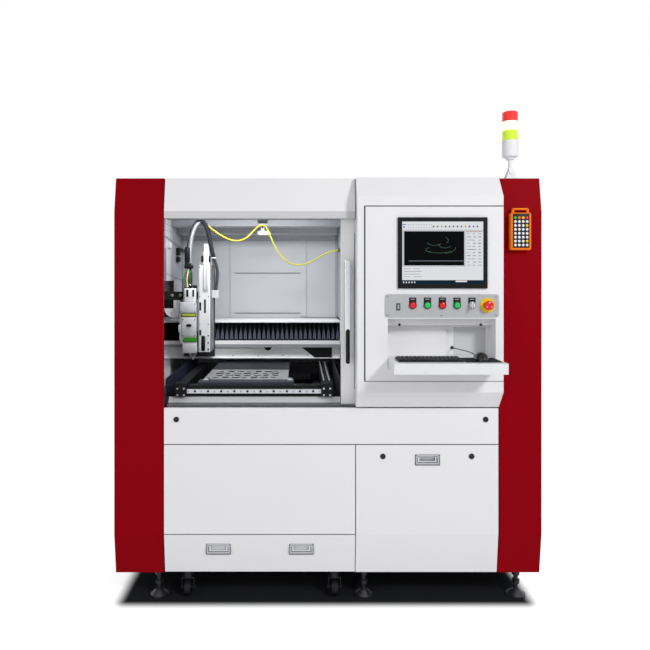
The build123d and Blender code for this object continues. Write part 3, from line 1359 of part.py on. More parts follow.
def estop_button():
    """The mushroom head of the emergency stop on its stem."""
    front = -CONSOLE_OUT - PLATE_THICK
    head = rod_y(front - 30, front - 20, ESTOP_X, CONTROL_Z, 20)
    head = fillet(head.edges().filter_by(GeomType.CIRCLE), 4)
    head += rod_y(front - 22, front - 10, ESTOP_X, CONTROL_Z, 14)
    return head + rod_y(front - 12, -CONSOLE_OUT + 20, ESTOP_X, CONTROL_Z, STEM_R)


def pendant():
    """The hand-held keypad that hangs flat on the right pillar, with its carrying loop."""
    half = 46
    low, high, loop = PENDANT_Z
    body = block(PENDANT_X - half, PENDANT_X + half, -32, 0, low, high)
    body = fillet(body.edges().filter_by(Axis.Y), 8)
    body -= block(PENDANT_X - half + 12, PENDANT_X + half - 12, -33, -29, low + 12, high - 6)
    grip = block(PENDANT_X - half + 8, PENDANT_X + half - 8, -26, -8, high - 4, loop)
    grip -= block(PENDANT_X - half + 18, PENDANT_X + half - 18, -30, 0, high, loop - 7)
    keys = []
    pitch = 17
    for column in range(4):
        for row in range(8):
            x = PENDANT_X + pitch * (column - 1.5)
            keys.append(rod_y(-32.5, -28, x, low + 22 + pitch * row, 5.5))
    return body + grip + keys


# Signal tower
def tower_base():
    """The roof bracket of the signal tower: a flange, two ears and the pivot bolt."""
    x, y, z = TOWER_X, TOWER_Y, TOWER_PIVOT_Z
    base = block(x - 30, x + 30, y - 26, y + 26, CABINET_TOP, CABINET_TOP + 5)
    ear = [(x - 24, CABINET_TOP + 4), (x - 10, z + 8), (x + 10, z + 8), (x + 24, CABINET_TOP + 4)]
    for y0 in (y - 18, y + 14):
        base += prism_y(ear, y0, y0 + 4)
    base += rod_y(y - 22, y + 22, x, z, 4)
    for y0 in (y - 22, y + 18):
        base += rod_y(y0, y0 + 4, x, z, 8)
    return base


def tower_column():
    """The folding foot, the pole and the electronics housing."""
    x, y, z = TOWER_X, TOWER_Y, TOWER_PIVOT_Z
    foot = block(x - 9, x + 9, y - 13.7, y + 13.7, z - 12, z + 20)
    foot = foot + rod_z(z + 19, TOWER_LEVELS[0] + 1, x, y, 9)
    foot += cone_z(TOWER_LEVELS[0] - 14, TOWER_LEVELS[0], x, y, 15, 26)
    foot += rod_z(TOWER_LEVELS[0], TOWER_LEVELS[1], x, y, TOWER_R)
    return foot - rod_y(y - 15, y + 15, x, z, 4 + RUNNING)


def tower_lens(low, high, last):
    """One ribbed lens of the signal tower."""
    x, y = TOWER_X, TOWER_Y
    cap = 2 if not last else 0
    barrel = rod_z(low + 2, high - cap, x, y, TOWER_R - 0.5)
    if last:
        barrel = fillet(barrel.edges().group_by(Axis.Z)[-1], 6)
    return barrel + rod_z(low, high - 2 + cap, x, y, TOWER_R - 2)


# Machinery inside the right cabinet


def hollow_case(x0, x1, y0, y1, z0, z1):
    """A closed sheet case."""
    wall = CASE_WALL
    return block(x0, x1, y0, y1, z0, z1) - block(
        x0 + wall, x1 - wall, y0 + wall, y1 - wall, z0 + wall, z1 - wall
    )


def laser_source():
    """The boxed laser source with its rack handles, fan rings and vent slots."""
    (x0, x1), (y0, y1) = CASE_X, SOURCE_Y
    z0, z1 = MEMBER_LOW + 2 * MEMBER, SOURCE_TOP
    box = hollow_case(x0, x1, y0, y1, z0, z1)
    for x in (x0 + 40, x1 - 40):
        box += block(x - 8, x + 8, y0 - 24, y0 - 16, z0 + 120, z0 + 260)
        for z in (z0 + 124, z0 + 256):
            box += rod_y(y0 - 20, y0 + 1, x, z, 4)
    for x in (x0 + 190, x0 + 400):
        fan_z = z0 + 230
        for outer, inner in ((70, 62), (54, 24)):
            box -= rod_y(y0 - 1, y0 + 12, x, fan_z, outer) - rod_y(y0 - 2, y0 + 13, x, fan_z, inner)
        for turn in range(4):
            spoke = block(22, 72, y0, y0 + CASE_WALL, -4, 4)
            box += Pos(x, 0, fan_z) * Rot(0, 45 + 90 * turn, 0) * spoke
    for row in range(5):
        box -= block(x0 + 100, x1 - 100, y0 - 1, y0 + 6, z0 + 40 + 16 * row, z0 + 46 + 16 * row)
    return box


def control_cabinet():
    """The upright electrical cabinet with its door, hinges and cable duct."""
    x0, x1 = CASE_X
    y0, y1 = SHELF_Y[1] + 5, POST_REAR_Y + MEMBER / 2
    z0, z1 = MEMBER_LOW + 2 * MEMBER, CABINET_CASE_TOP
    wall = CASE_WALL
    box = block(x0, x1, y0, y1, z0, z1)
    box += block(x0 + 15, x1 - 15, y0 - 12, y0 + 1, z0 + 20, z1 - 20)
    box -= block(x0 + wall, x1 - wall, y0 + wall, y1 - wall, z0 + wall, z1 - wall)
    box -= block(x0 + 18, x1 - 18, y0 - 9, y0 + 4, z0 + 23, z1 - 23)
    for row in range(8):
        box -= block(x0 + 150, x1 - 150, y0 - 13, y0 - 8, z0 + 90 + 18 * row, z0 + 96 + 18 * row)
    for z in (z0 + 150, (z0 + z1) / 2, z1 - 150):
        box += rod_z(z - 40, z + 40, x0 + 15, y0 - 10, 8)
    box += block(x1 - 60, x1 - 40, y0 - 26, y0 - 10, 900, 1020)
    return box + block(x0 + 60, x0 + 180, y0 + 60, y1 - 60, z1 - 1, z1 + 60)


def build_all():
    """Models every piece and notes it under its node name."""
    keep("base_frame", base_frame())
    keep("levelling_feet", Compound([levelling_foot(x, y) for x in FOOT_X for y in FOOT_Y]))
    for side_name, x in zip(("left", "right"), CASTER_X):
        for end_name, y in zip(("front", "rear"), CASTER_Y):
            keep(f"caster_wheel_{end_name}_{side_name}", caster_wheel(x, y))
    covers = [pillar_cover(-1, PILLAR_LEFT_INNER), pillar_cover(1, PILLAR_RIGHT_INNER)]
    keep("pillar_covers", Compound(covers))
    keep("side_panels", Compound([side_panel(-1), side_panel(1)]))
    keep("rear_panel", rear_panel())
    keep("roof_cover", roof_cover())
    keep("lower_left_panel", pan(PILLAR_LEFT_INNER + PANEL_GAP, SEAM_X - 2, KNEE_LOW + 2, SILL_SEAM - 2))
    keep("console_housing", console_housing())
    keep("door_rails", Compound(door_rails()))
    keep("door_frame", door_frame())
    keep("door_window", door_window())
    keep("door_handle", door_handle())
    keep("sill_flap", sill_flap())
    keep("service_flap", service_flap())
    for name, x in zip(("sill_lock_left", "sill_lock_right"), SILL_LOCKS):
        keep(name, lock(x, SILL_LOCK_Z, RETURN_DEEP + 2, (0, -1)))
    tongue_y = PAN_DEEP + SEAT_GAP + RAIL_PLATE + 3
    for name, x, aim in zip(("flap_lock_left", "flap_lock_right"), SERVICE_LOCKS, (1, -1)):
        keep(name, lock(x, SERVICE_LOCK_Z, tongue_y, (aim, 0)))
    keep("flap_bail", bail(*SERVICE_PULL))
    keep("scrap_drawer", scrap_drawer())
    for name, x in zip(("drawer_bail_left", "drawer_bail_right"), DRAWER_PULLS):
        keep(name, bail(x, DRAWER_PULL_Z))
    keep("chamber_liner", chamber_liner())
    keep("machine_bed", machine_bed())
    keep("slide_covers", slide_covers())
    keep("gantry_beam", gantry_beam())
    keep("bellows_right", bellows(CARRIAGE_RIGHT, COVER_RIGHT, 27))
    keep("bellows_left", bellows(COVER_LEFT, CARRIAGE_LEFT, 27))
    keep("x_carriage", x_carriage())
    keep("cutting_head", cutting_head())
    keep("head_hose", cord_tube("head hose", HOSE_ROUTE, HOSE_D))
    keep("fibre_cable", cord_tube("fibre cable", CABLE_ROUTE, CABLE_D))
    keep("mouse_cord", cord_tube("mouse cord", CORD_ROUTE, CORD_D))
    keep("cable_bracket", cable_bracket())
    keep("table_frame", table_frame())
    keep("work_sheet", work_sheet())
    keep("sheet_clamps", Compound([sheet_clamp(x) for x in (SHEET_LEFT + 19, SHEET_RIGHT + 11)]))
    keep("console_door", console_door())
    keep("monitor", monitor())
    keep("button_plate", button_plate())
    names = ("button_red_left", "button_green_left", "button_red_right", "button_green_right")
    for name, x in zip(names, BUTTON_X):
        keep(name, push_button(x))
    keep("key_switch", key_switch())
    keep("estop_button", estop_button())
    keep("keyboard_tray", keyboard_tray())
    keep("keyboard", keyboard())
    keep("mouse_mat", block(*MAT, TRAY_TOP, TRAY_TOP + MAT_THICK))
    keep("mouse", mouse())
    keep("pendant", pendant())
    keep("signal_tower_base", tower_base())
    keep("signal_column", tower_column())
    levels = list(zip(TOWER_LEVELS[1:], TOWER_LEVELS[2:]))
    lenses = [tower_lens(low, high, high == TOWER_LEVELS[-1]) for low, high in levels]
    keep("signal_lenses", Compound(lenses))
    keep("laser_source", laser_source())
    keep("control_cabinet", control_cabinet())


build_all()
os.makedirs("parts", exist_ok=True)
for node, shape in FINISHED.items():
    export_step(shape, f"parts/{node}.step")
print(len(FINISHED), "pieces written, origin shift", ORIGIN_Y)
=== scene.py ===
# %% [markdown]
# # A fiber laser cutting machine, dressed around its working frame
# The covers, rails, beam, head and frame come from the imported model, so they already have
# their real sizes and already move. This script gives them their paint and metal, and adds
# what sheet-metal drawings leave out: bellows, hoses, keys, lenses, a lit screen and lamps.

import math

import bmesh
import bpy
from mathutils import Matrix, Vector
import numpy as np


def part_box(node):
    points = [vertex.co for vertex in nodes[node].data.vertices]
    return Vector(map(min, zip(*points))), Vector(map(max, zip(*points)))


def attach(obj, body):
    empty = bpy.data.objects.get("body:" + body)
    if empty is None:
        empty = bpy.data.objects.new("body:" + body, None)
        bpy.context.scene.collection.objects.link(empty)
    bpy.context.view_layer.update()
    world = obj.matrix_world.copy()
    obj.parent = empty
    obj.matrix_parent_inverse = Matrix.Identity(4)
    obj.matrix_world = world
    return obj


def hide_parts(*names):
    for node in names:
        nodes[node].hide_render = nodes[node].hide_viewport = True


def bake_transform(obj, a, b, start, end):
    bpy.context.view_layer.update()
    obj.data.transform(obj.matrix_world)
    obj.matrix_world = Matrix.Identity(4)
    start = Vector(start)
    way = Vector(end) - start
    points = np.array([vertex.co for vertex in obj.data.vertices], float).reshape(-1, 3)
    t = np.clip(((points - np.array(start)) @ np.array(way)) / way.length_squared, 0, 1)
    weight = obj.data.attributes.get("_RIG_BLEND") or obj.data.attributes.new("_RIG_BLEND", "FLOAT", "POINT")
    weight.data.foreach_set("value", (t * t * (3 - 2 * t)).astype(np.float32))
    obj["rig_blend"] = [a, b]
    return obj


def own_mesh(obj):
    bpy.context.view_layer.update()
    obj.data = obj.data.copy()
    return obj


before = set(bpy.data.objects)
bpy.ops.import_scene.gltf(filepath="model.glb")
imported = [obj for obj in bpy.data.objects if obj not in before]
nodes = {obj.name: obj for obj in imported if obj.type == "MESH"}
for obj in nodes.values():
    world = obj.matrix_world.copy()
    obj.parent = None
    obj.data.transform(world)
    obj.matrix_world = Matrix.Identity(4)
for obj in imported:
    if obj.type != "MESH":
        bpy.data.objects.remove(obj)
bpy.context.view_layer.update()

# %% [markdown]
# ## Drawing in millimetres
# A machine is drawn in millimetres from the plane of its front covers: x to the right,
# d back from that plane, z up from the floor. Blender works in metres from the middle of
# the footprint. One small function turns the first into the second, so every piece below
# can be given the numbers that stand on the drawing.

# %% Places and spans
MM = 0.001
FRONT_PLANE = 666.5
FAR = 9000


def place(x, d, z):
    """A drawing place in millimetres as a point in metres."""
    return Vector((x, d - FRONT_PLANE, z)) * MM


def span(x0=-FAR, x1=FAR, d0=-FAR, d1=FAR, z0=-FAR, z1=FAR):
    """The two corners of a box in space, each side left out when it doesn't matter."""
    return place(x0, d0, z0), place(x1, d1, z1)


print("the front plane lies at y =", place(0, 0, 0).y)

# %% [markdown]
# ## Camera
# The machine was photographed square on, from a little left of its middle at chest height.
# The lens is shifted instead of the camera tilted, which keeps the uprights parallel.

# %% Camera
CAMERA_PLACE = (-122.8, -2640, 1456)
CAMERA_LENS = 33.23
CAMERA_SHIFT = (0.0385, -0.077)

camera_data = bpy.data.cameras.new("camera")
camera_data.lens = CAMERA_LENS
camera_data.shift_x, camera_data.shift_y = CAMERA_SHIFT
camera = bpy.data.objects.new("camera", camera_data)
camera.location = place(*CAMERA_PLACE)
camera.rotation_euler = (math.radians(90), 0, 0)
bpy.context.scene.collection.objects.link(camera)
bpy.context.scene.camera = camera
print("camera at", camera.location)

# %% [markdown]
# ## Shader building blocks
# Paint, metal and plastic differ in a few measurable ways: how much the colour wanders,
# how fine the grain is, and how rough the shine. Each is a node group with those as named
# inputs, so one recipe serves many materials. Constants stay on the shader itself.


# %% Node helpers
def add(tree, kind, wires=None, **settings):
    """Adds a node; each named input gets a value, or a wire from another node's output."""
    made = tree.nodes.new(kind)
    for name, value in settings.items():
        setattr(made, name, value)
    for name, value in (wires or {}).items():
        socket = made.inputs[name]
        if isinstance(value, bpy.types.NodeSocket):
            tree.links.new(value, socket)
        else:
            socket.default_value = value
    return made


def arithmetic(tree, operation, first, second=0.0):
    """The result of one sum, product, power or comparison."""
    return add(tree, "ShaderNodeMath", {0: first, 1: second}, operation=operation).outputs[0]


def varied(tree, base, wire, share):
    """A value that wanders around its base by a share of a wire."""
    return arithmetic(tree, "ADD", base, arithmetic(tree, "MULTIPLY", wire, share))


def vectors(tree, operation, first, second=(0, 0, 0)):
    """The result of one sum on vectors."""
    return add(tree, "ShaderNodeVectorMath", {0: first, 1: second}, operation=operation).outputs[0]


def object_place(tree):
    """Where a point lies on the piece itself."""
    return add(tree, "ShaderNodeTexCoord").outputs["Object"]


def noise(tree, where, scale, detail=2.0):
    """Soft noise from nought to one."""
    return add(tree, "ShaderNodeTexNoise", {"Vector": where, "Scale": scale, "Detail": detail}).outputs["Fac"]


def mix_colours(tree, factor, first, second):
    """The first colour where the factor is nought, the second where it is one."""
    return add(tree, "ShaderNodeMix", {0: factor, 6: first, 7: second}, data_type="RGBA").outputs[2]


def mix_values(tree, factor, first, second):
    """The first value where the factor is nought, the second where it is one."""
    return add(tree, "ShaderNodeMix", {0: factor, 2: first, 3: second}).outputs[0]


def shade_steps(tree, colour, amount):
    """A colour made a little lighter or darker by an amount around one."""
    shaded = add(tree, "ShaderNodeHueSaturation", {"Value": amount, "Color": colour})
    return shaded.outputs["Color"]


def new_group(name, inputs, outputs):
    """An empty node group with named sockets."""
    group = bpy.data.node_groups.new(name, "ShaderNodeTree")
    for label, kind, value in inputs:
        socket = group.interface.new_socket(name=label, in_out="INPUT", socket_type=kind)
        socket.default_value = value
    for label, kind in outputs:
        group.interface.new_socket(name=label, in_out="OUTPUT", socket_type=kind)
    return group, group.nodes.new("NodeGroupInput").outputs, group.nodes.new("NodeGroupOutput").inputs


COLOUR, NUMBER, VECTOR = "NodeSocketColor", "NodeSocketFloat", "NodeSocketVector"
SURFACE_OUTPUTS = [("Colour", COLOUR), ("Roughness", NUMBER), ("Height", NUMBER)]
PALE = (0.8, 0.8, 0.8, 1.0)


def surface_group(name, *inputs):
    """A node group that takes a colour and draws a surface."""
    return new_group(name, [("Colour", COLOUR, PALE), *inputs], SURFACE_OUTPUTS)


def close_group(group, result, colour, rough, height):
    """Joins a surface group's three results to its outputs."""
    for label, wire in (("Colour", colour), ("Roughness", rough), ("Height", height)):
        group.links.new(wire, result[label])
    print(group.name, "group:", len(group.nodes), "nodes")
    return group


print("node helpers ready")


# %% Powder coat
def powder_coat_group():
    """Baked paint: a fine orange peel, and a colour that drifts a little over a large sheet."""
    group, given, result = surface_group(
        "powder coat", ("Drift", NUMBER, 0.03), ("Roughness", NUMBER, 0.35), ("Peel size", NUMBER, 520.0)
    )
    where = object_place(group)
    cloud = arithmetic(group, "SUBTRACT", noise(group, where, scale=2.3, detail=3.0), 0.5)
    peel = noise(group, where, given["Peel size"])
    colour = shade_steps(group, given["Colour"], varied(group, 1.0, cloud, given["Drift"]))
    rough = varied(group, given["Roughness"], cloud, share=0.12)
    return close_group(group, result, colour, rough, peel)


powder_coat = powder_coat_group()


# %% Brushed metal
def brushed_metal_group():
    """Rolled or ground metal: streaks far longer than they are wide, along one direction."""
    group, given, result = surface_group(
        "brushed metal", ("Streaks", VECTOR, (20.0, 900.0, 900.0)), ("Contrast", NUMBER, 0.16),
        ("Roughness", NUMBER, 0.3),
    )
    where = object_place(group)
    streak = noise(group, vectors(group, "MULTIPLY", where, given["Streaks"]), scale=1.0, detail=4.0)
    cloud = arithmetic(group, "MULTIPLY", noise(group, where, scale=18.0), 0.3)
    centred = arithmetic(group, "SUBTRACT", varied(group, cloud, streak, share=0.7), 0.5)
    colour = shade_steps(group, given["Colour"], varied(group, 1.0, centred, given["Contrast"]))
    rough = varied(group, given["Roughness"], centred, given["Contrast"])
    return close_group(group, result, colour, rough, streak)


brushed_metal = brushed_metal_group()


# %% Moulded plastic
def moulded_plastic_group():
    """Injection-moulded plastic: a spark-eroded grain that also breaks up the shine."""
    group, given, result = surface_group(
        "moulded plastic", ("Grain size", NUMBER, 900.0), ("Roughness", NUMBER, 0.45)
    )
    where = object_place(group)
    grain = add(group, "ShaderNodeTexVoronoi", {"Vector": where, "Scale": given["Grain size"]})
    cloud = arithmetic(group, "SUBTRACT", noise(group, where, scale=30.0), 0.5)
    colour = shade_steps(group, given["Colour"], varied(group, 1.0, cloud, share=0.08))
    rough = varied(group, given["Roughness"], cloud, share=0.1)
    return close_group(group, result, colour, rough, grain.outputs["Distance"])


moulded_plastic = moulded_plastic_group()

# %% Cloth and sleeve weaves
# What each ring of a cord knows: how far along the line it lies, and its direction round it.
ON_THE_LINE = ("along", "round_x", "round_y")


def woven_group():
    """Coated cloth: two crossing sets of threads on the piece's own coordinates."""
    group, given, result = surface_group(
        "woven cloth", ("Threads", NUMBER, 2600.0), ("Roughness", NUMBER, 0.8)
    )
    axes = add(group, "ShaderNodeSeparateXYZ", {0: object_place(group)}).outputs
    across = arithmetic(group, "ADD", axes["X"], axes["Y"])
    warp = arithmetic(group, "SINE", arithmetic(group, "MULTIPLY", across, given["Threads"]))
    weft = arithmetic(group, "SINE", arithmetic(group, "MULTIPLY", axes["Z"], given["Threads"]))
    height = arithmetic(group, "MULTIPLY", warp, weft)
    colour = shade_steps(group, given["Colour"], varied(group, 1.0, height, share=0.12))
    return close_group(group, result, colour, given["Roughness"], height)


def braid_group():
    """A hose's sleeve: two sets of strands that wind opposite ways along its own line."""
    group, given, result = surface_group(
        "braided sleeve", ("Second colour", COLOUR, PALE), ("Winds", NUMBER, 420.0),
        ("Strands", NUMBER, 6.0), ("Roughness", NUMBER, 0.4),
    )
    along, round_x, round_y = [
        add(group, "ShaderNodeAttribute", attribute_name=name).outputs["Fac"] for name in ON_THE_LINE
    ]
    turn = arithmetic(group, "MULTIPLY", arithmetic(group, "ARCTAN2", round_y, round_x), given["Strands"])
    run = arithmetic(group, "MULTIPLY", along, given["Winds"])
    left = arithmetic(group, "SINE", arithmetic(group, "ADD", run, turn))
    right = arithmetic(group, "SINE", arithmetic(group, "SUBTRACT", run, turn))
    height = arithmetic(group, "MULTIPLY", left, right)
    factor = varied(group, 0.5, height, share=0.5)
    colour = mix_colours(group, factor, given["Second colour"], given["Colour"])
    return close_group(group, result, colour, given["Roughness"], height)


woven_cloth = woven_group()
braided_sleeve = braid_group()


# %% Region mask
def box_mask_group():
    """One inside a box in space and nothing outside, for a welded piece with several finishes."""
    group, given, result = new_group(
        "inside a box", [("Low", VECTOR, (0, 0, 0)), ("High", VECTOR, (1, 1, 1))], [("Mask", NUMBER)]
    )
    where = object_place(group)
    over_low = vectors(group, "SUBTRACT", where, given["Low"])
    under_high = vectors(group, "SUBTRACT", given["High"], where)
    sides = add(group, "ShaderNodeSeparateXYZ", {0: vectors(group, "MINIMUM", over_low, under_high)}).outputs
    least = arithmetic(group, "MINIMUM", sides["X"], sides["Y"])
    least = arithmetic(group, "MINIMUM", least, sides["Z"])
    group.links.new(arithmetic(group, "GREATER_THAN", least), result["Mask"])
    return group


inside_box = box_mask_group()
print("box mask group:", len(inside_box.nodes), "nodes")

# %% Materials from a recipe
# Paint and plastic reflect less than the shader's default, so black stays black in a white room.
SPECULAR = 0.16


def srgb(red, green, blue):
    """A colour as it is read off a screen, in the linear light that shaders use."""
    shares = [value / 255 for value in (red, green, blue)]
    return (*[s / 12.92 if s <= 0.04045 else ((s + 0.055) / 1.055) ** 2.4 for s in shares], 1.0)


def region(colour, rough, metal, **sides):
    """Another finish for what lies inside a box in space."""
    return span(**sides), colour, rough, metal


def surface(name, group, colour, bump, given, bump_depth=0.0002, regions=(), **shader_values):
    """A material: a group draws the surface, boxes in space may change it."""
    made = bpy.data.materials.new(name)
    made.use_nodes = True
    tree = made.node_tree
    shader = tree.nodes["Principled BSDF"].inputs
    shader["Specular IOR Level"].default_value = SPECULAR
    for label, value in shader_values.items():
        shader[label.replace("_", " ")].default_value = value
    drawn = add(tree, "ShaderNodeGroup", node_tree=group)
    for label, value in {"Colour": srgb(*colour), **given}.items():
        drawn.inputs[label].default_value = value
    colour_wire, rough_wire = drawn.outputs["Colour"], drawn.outputs["Roughness"]
    metal_wire = None
    for (low, high), region_colour, region_rough, region_metal in regions:
        mask = add(tree, "ShaderNodeGroup", node_tree=inside_box)
        mask.inputs["Low"].default_value = low
        mask.inputs["High"].default_value = high
        inside = mask.outputs["Mask"]
        colour_wire = mix_colours(tree, inside, colour_wire, srgb(*region_colour))
        rough_wire = mix_values(tree, inside, rough_wire, region_rough)
        metal_wire = mix_values(
            tree, inside, metal_wire or shader["Metallic"].default_value, region_metal
        )
    relief = add(
        tree, "ShaderNodeBump", {"Strength": bump, "Distance": bump_depth, "Height": drawn.outputs["Height"]}
    )
    tree.links.new(colour_wire, shader["Base Color"])
    tree.links.new(rough_wire, shader["Roughness"])
    tree.links.new(relief.outputs["Normal"], shader["Normal"])
    if metal_wire:
        tree.links.new(metal_wire, shader["Metallic"])
    return made


def coat(name, colour, bump=0.05, rough=0.35, drift=0.03, **more):
    """Powder coat of one colour."""
    return surface(name, powder_coat, colour, bump, {"Roughness": rough, "Drift": drift}, **more)


def metal(name, colour, bump, shine, rough=0.3, streaks=(20.0, 900.0, 900.0), contrast=0.16, **more):
    """Bare or plated metal, with its streaks per metre along each axis."""
    given = {"Roughness": rough, "Streaks": streaks, "Contrast": contrast}
    return surface(name, brushed_metal, colour, bump, given, Metallic=shine, **more)


def plastic(name, colour, bump=0.02, rough=0.45, **more):
    """Moulded plastic or rubber."""
    return surface(name, moulded_plastic, colour, bump, {"Roughness": rough}, **more)


def sleeve(name, colour, second, bump, winds, strands, rough, **more):
    """A cord's jacket in two colours, with its winds per metre and its number of strands."""
    given = {"Second colour": srgb(*second), "Winds": winds, "Strands": strands, "Roughness": rough}
    return surface(name, braided_sleeve, colour, bump, given, **more)


print("coat, metal, plastic and sleeve make materials")

# %% [markdown]
# ## Modelling helpers
# Nearly every small part on a machine is one of four things: a block with eased edges, a
# turned part, a flat outline given a thickness, or something swept along a line. Each has
# one helper, made from the bmesh operators that a modeller would use by hand.

# %% Blocks and turned parts
FLAT = 0.999
MERGE_DISTANCE = 1e-7
TURNS = {
    "up": Matrix.Identity(4),
    "front": Matrix.Rotation(math.radians(90), 4, "X"),
    "right": Matrix.Rotation(math.radians(90), 4, "Y"),
}


def ease(bm, radius, segments):
    """Rounds every edge of a shape by a radius in millimetres."""
    bmesh.ops.bevel(
        bm, geom=list(bm.edges), offset=radius * MM, segments=segments, profile=0.5,
        affect="EDGES", material=-1, clamp_overlap=True,
    )


def smooth_all(bm):
    """Shades every face smooth."""
    for face in bm.faces:
        face.smooth = True


def rounded_block(x0, x1, d0, d1, z0, z1, radius=0, segments=2):
    """A block in drawing millimetres with its edges eased."""
    bm = bmesh.new()
    bmesh.ops.create_cube(bm, size=1)
    low, high = place(x0, d0, z0), place(x1, d1, z1)
    bmesh.ops.scale(bm, vec=high - low, verts=bm.verts)
    bmesh.ops.translate(bm, vec=(low + high) / 2, verts=bm.verts)
    if radius:
        ease(bm, radius, segments)
    for face in bm.faces:
        face.smooth = max(abs(value) for value in face.normal) < FLAT
    return bm


def turned(profile, centre, axis="front", steps=32):
    """A lathe part: (radius, along) points spun about an axis through a drawing place."""
    bm = bmesh.new()
    points = [bm.verts.new((radius * MM, 0, along * MM)) for radius, along in profile]
    edges = [bm.edges.new(pair) for pair in zip(points, points[1:])]
    bmesh.ops.spin(
        bm, geom=points + edges, cent=(0, 0, 0), axis=(0, 0, 1), angle=2 * math.pi, steps=steps,
        use_merge=True,
    )
    bmesh.ops.remove_doubles(bm, verts=bm.verts, dist=MERGE_DISTANCE)
    bmesh.ops.recalc_face_normals(bm, faces=bm.faces)
    bmesh.ops.transform(bm, matrix=Matrix.Translation(place(*centre)) @ TURNS[axis], verts=bm.verts)
    smooth_all(bm)
    return bm


def disc(radius, thick, edge=0.6):
    """The profile of a round plate with an eased rim, standing out from its seat."""
    return [(0, 0), (radius, 0), (radius, thick - edge), (radius - edge, thick), (0, thick)]


def rod(radius, start, end):
    """The profile of a plain round bar."""
    return [(0, start), (radius, start), (radius, end), (0, end)]


def blocks(finish, *sizes, radius=0, segments=2):
    """Several blocks of one finish, each as x0, x1, d0, d1, z0, z1."""
    return [(rounded_block(*size, radius, segments), finish) for size in sizes]


def turnings(finish, profile, *places, axis="front", steps=32):
    """The same turned part at several places."""
    return [(turned(profile, where, axis, steps), finish) for where in places]


print("blocks and turnings ready")

# %% Outlines and swept tubes
LAYS = {
    "xz": lambda a, b, c: place(a, c, b),
    "yz": lambda a, b, c: place(c, a, b),
}


def verts_of(grown):
    """The new corners among what an operator made."""
    return [item for item in grown if isinstance(item, bmesh.types.BMVert)]


def plate(outline, depth0, depth1, plane="xz"):
    """A flat outline in drawing millimetres, given a thickness across its plane."""
    bm = bmesh.new()
    lay = LAYS[plane]
    base = bm.faces.new([bm.verts.new(lay(a, b, depth0)) for a, b in outline])
    grown = bmesh.ops.extrude_face_region(bm, geom=[base])["geom"]
    bmesh.ops.translate(bm, vec=lay(0, 0, depth1) - lay(0, 0, depth0), verts=verts_of(grown))
    bmesh.ops.recalc_face_normals(bm, faces=bm.faces)
    return bm


def smooth_line(route, resolution=10):
    """Points along one smooth line whose control points are a route in metres."""
    curve = bpy.data.curves.new("line", "CURVE")
    curve.dimensions = "3D"
    spline = curve.splines.new("NURBS")
    spline.points.add(len(route) - 1)
    for point, where in zip(spline.points, route):
        point.co = (*where, 1)
    spline.order_u = 3
    spline.use_endpoint_u = True
    spline.resolution_u = resolution
    holder = bpy.data.objects.new("line", curve)
    mesh = bpy.data.meshes.new_from_object(holder)
    points = [vertex.co.copy() for vertex in mesh.vertices]
    bpy.data.objects.remove(holder)
    bpy.data.meshes.remove(mesh)
    bpy.data.curves.remove(curve)
    return points


def length_of(points):
    """The length of a line of points."""
    return sum((b - a).length for a, b in zip(points, points[1:]))


def sweep_ring(bm, points, radius, sides=14, start_along=0.0):
    """Extrudes a circle along a line, and notes on each ring how far along it lies."""
    floats = bm.verts.layers.float
    along_layer, x_layer, y_layer = [floats.get(name) or floats.new(name) for name in ON_THE_LINE]
    heading = (points[1] - points[0]).normalized()
    turn = heading.to_track_quat("Z", "Y").to_matrix().to_4x4()
    ring = bmesh.ops.create_circle(
        bm, cap_ends=True, segments=sides, radius=radius, matrix=Matrix.Translation(points[0]) @ turn
    )["verts"]
    along = start_along
    for index, vertex in enumerate(ring):
        angle = 2 * math.pi * index / sides
        vertex[along_layer] = along
        vertex[x_layer] = math.cos(angle)
        vertex[y_layer] = math.sin(angle)
    edges = [edge for edge in bm.edges if edge.verts[0] in ring and edge.verts[1] in ring]
    for index in range(1, len(points)):
        grown = bmesh.ops.extrude_edge_only(bm, edges=edges)["geom"]
        verts = verts_of(grown)
        edges = [
            item for item in grown
            if isinstance(item, bmesh.types.BMEdge) and all(vertex in verts for vertex in item.verts)
        ]
        before = points[index] - points[index - 1]
        after = points[min(index + 1, len(points) - 1)] - points[index]
        onwards = after.normalized() if after.length else before.normalized()
        next_heading = (before.normalized() + onwards).normalized()
        bend = heading.rotation_difference(next_heading).to_matrix().to_4x4()
        move = Matrix.Translation(points[index]) @ bend @ Matrix.Translation(-points[index - 1])
        bmesh.ops.transform(bm, matrix=move, verts=verts)
        along += before.length
        for vertex in verts:
            vertex[along_layer] = along
        heading = next_heading
    bmesh.ops.edgeloop_fill(bm, edges=edges)
    return along


def close_tube(bm):
    """Turns a tube's faces outwards and shades its wall smooth and its ends flat."""
    bmesh.ops.recalc_face_normals(bm, faces=bm.faces)
    for face in bm.faces:
        face.smooth = len(face.verts) == 4


def swept(points, radius, sides=14):
    """A closed round tube along a line of points, as a mesh of its own."""
    bm = bmesh.new()
    sweep_ring(bm, points, radius, sides)
    close_tube(bm)
    return bm


print("plate, smooth_line and sweep_ring ready")


# %% Putting a piece together
def put_down(name, mesh):
    """A mesh as an object of the scene."""
    piece = bpy.data.objects.new(name, mesh)
    bpy.context.scene.collection.objects.link(piece)
    print(name, "has", len(mesh.polygons), "faces")
    return piece


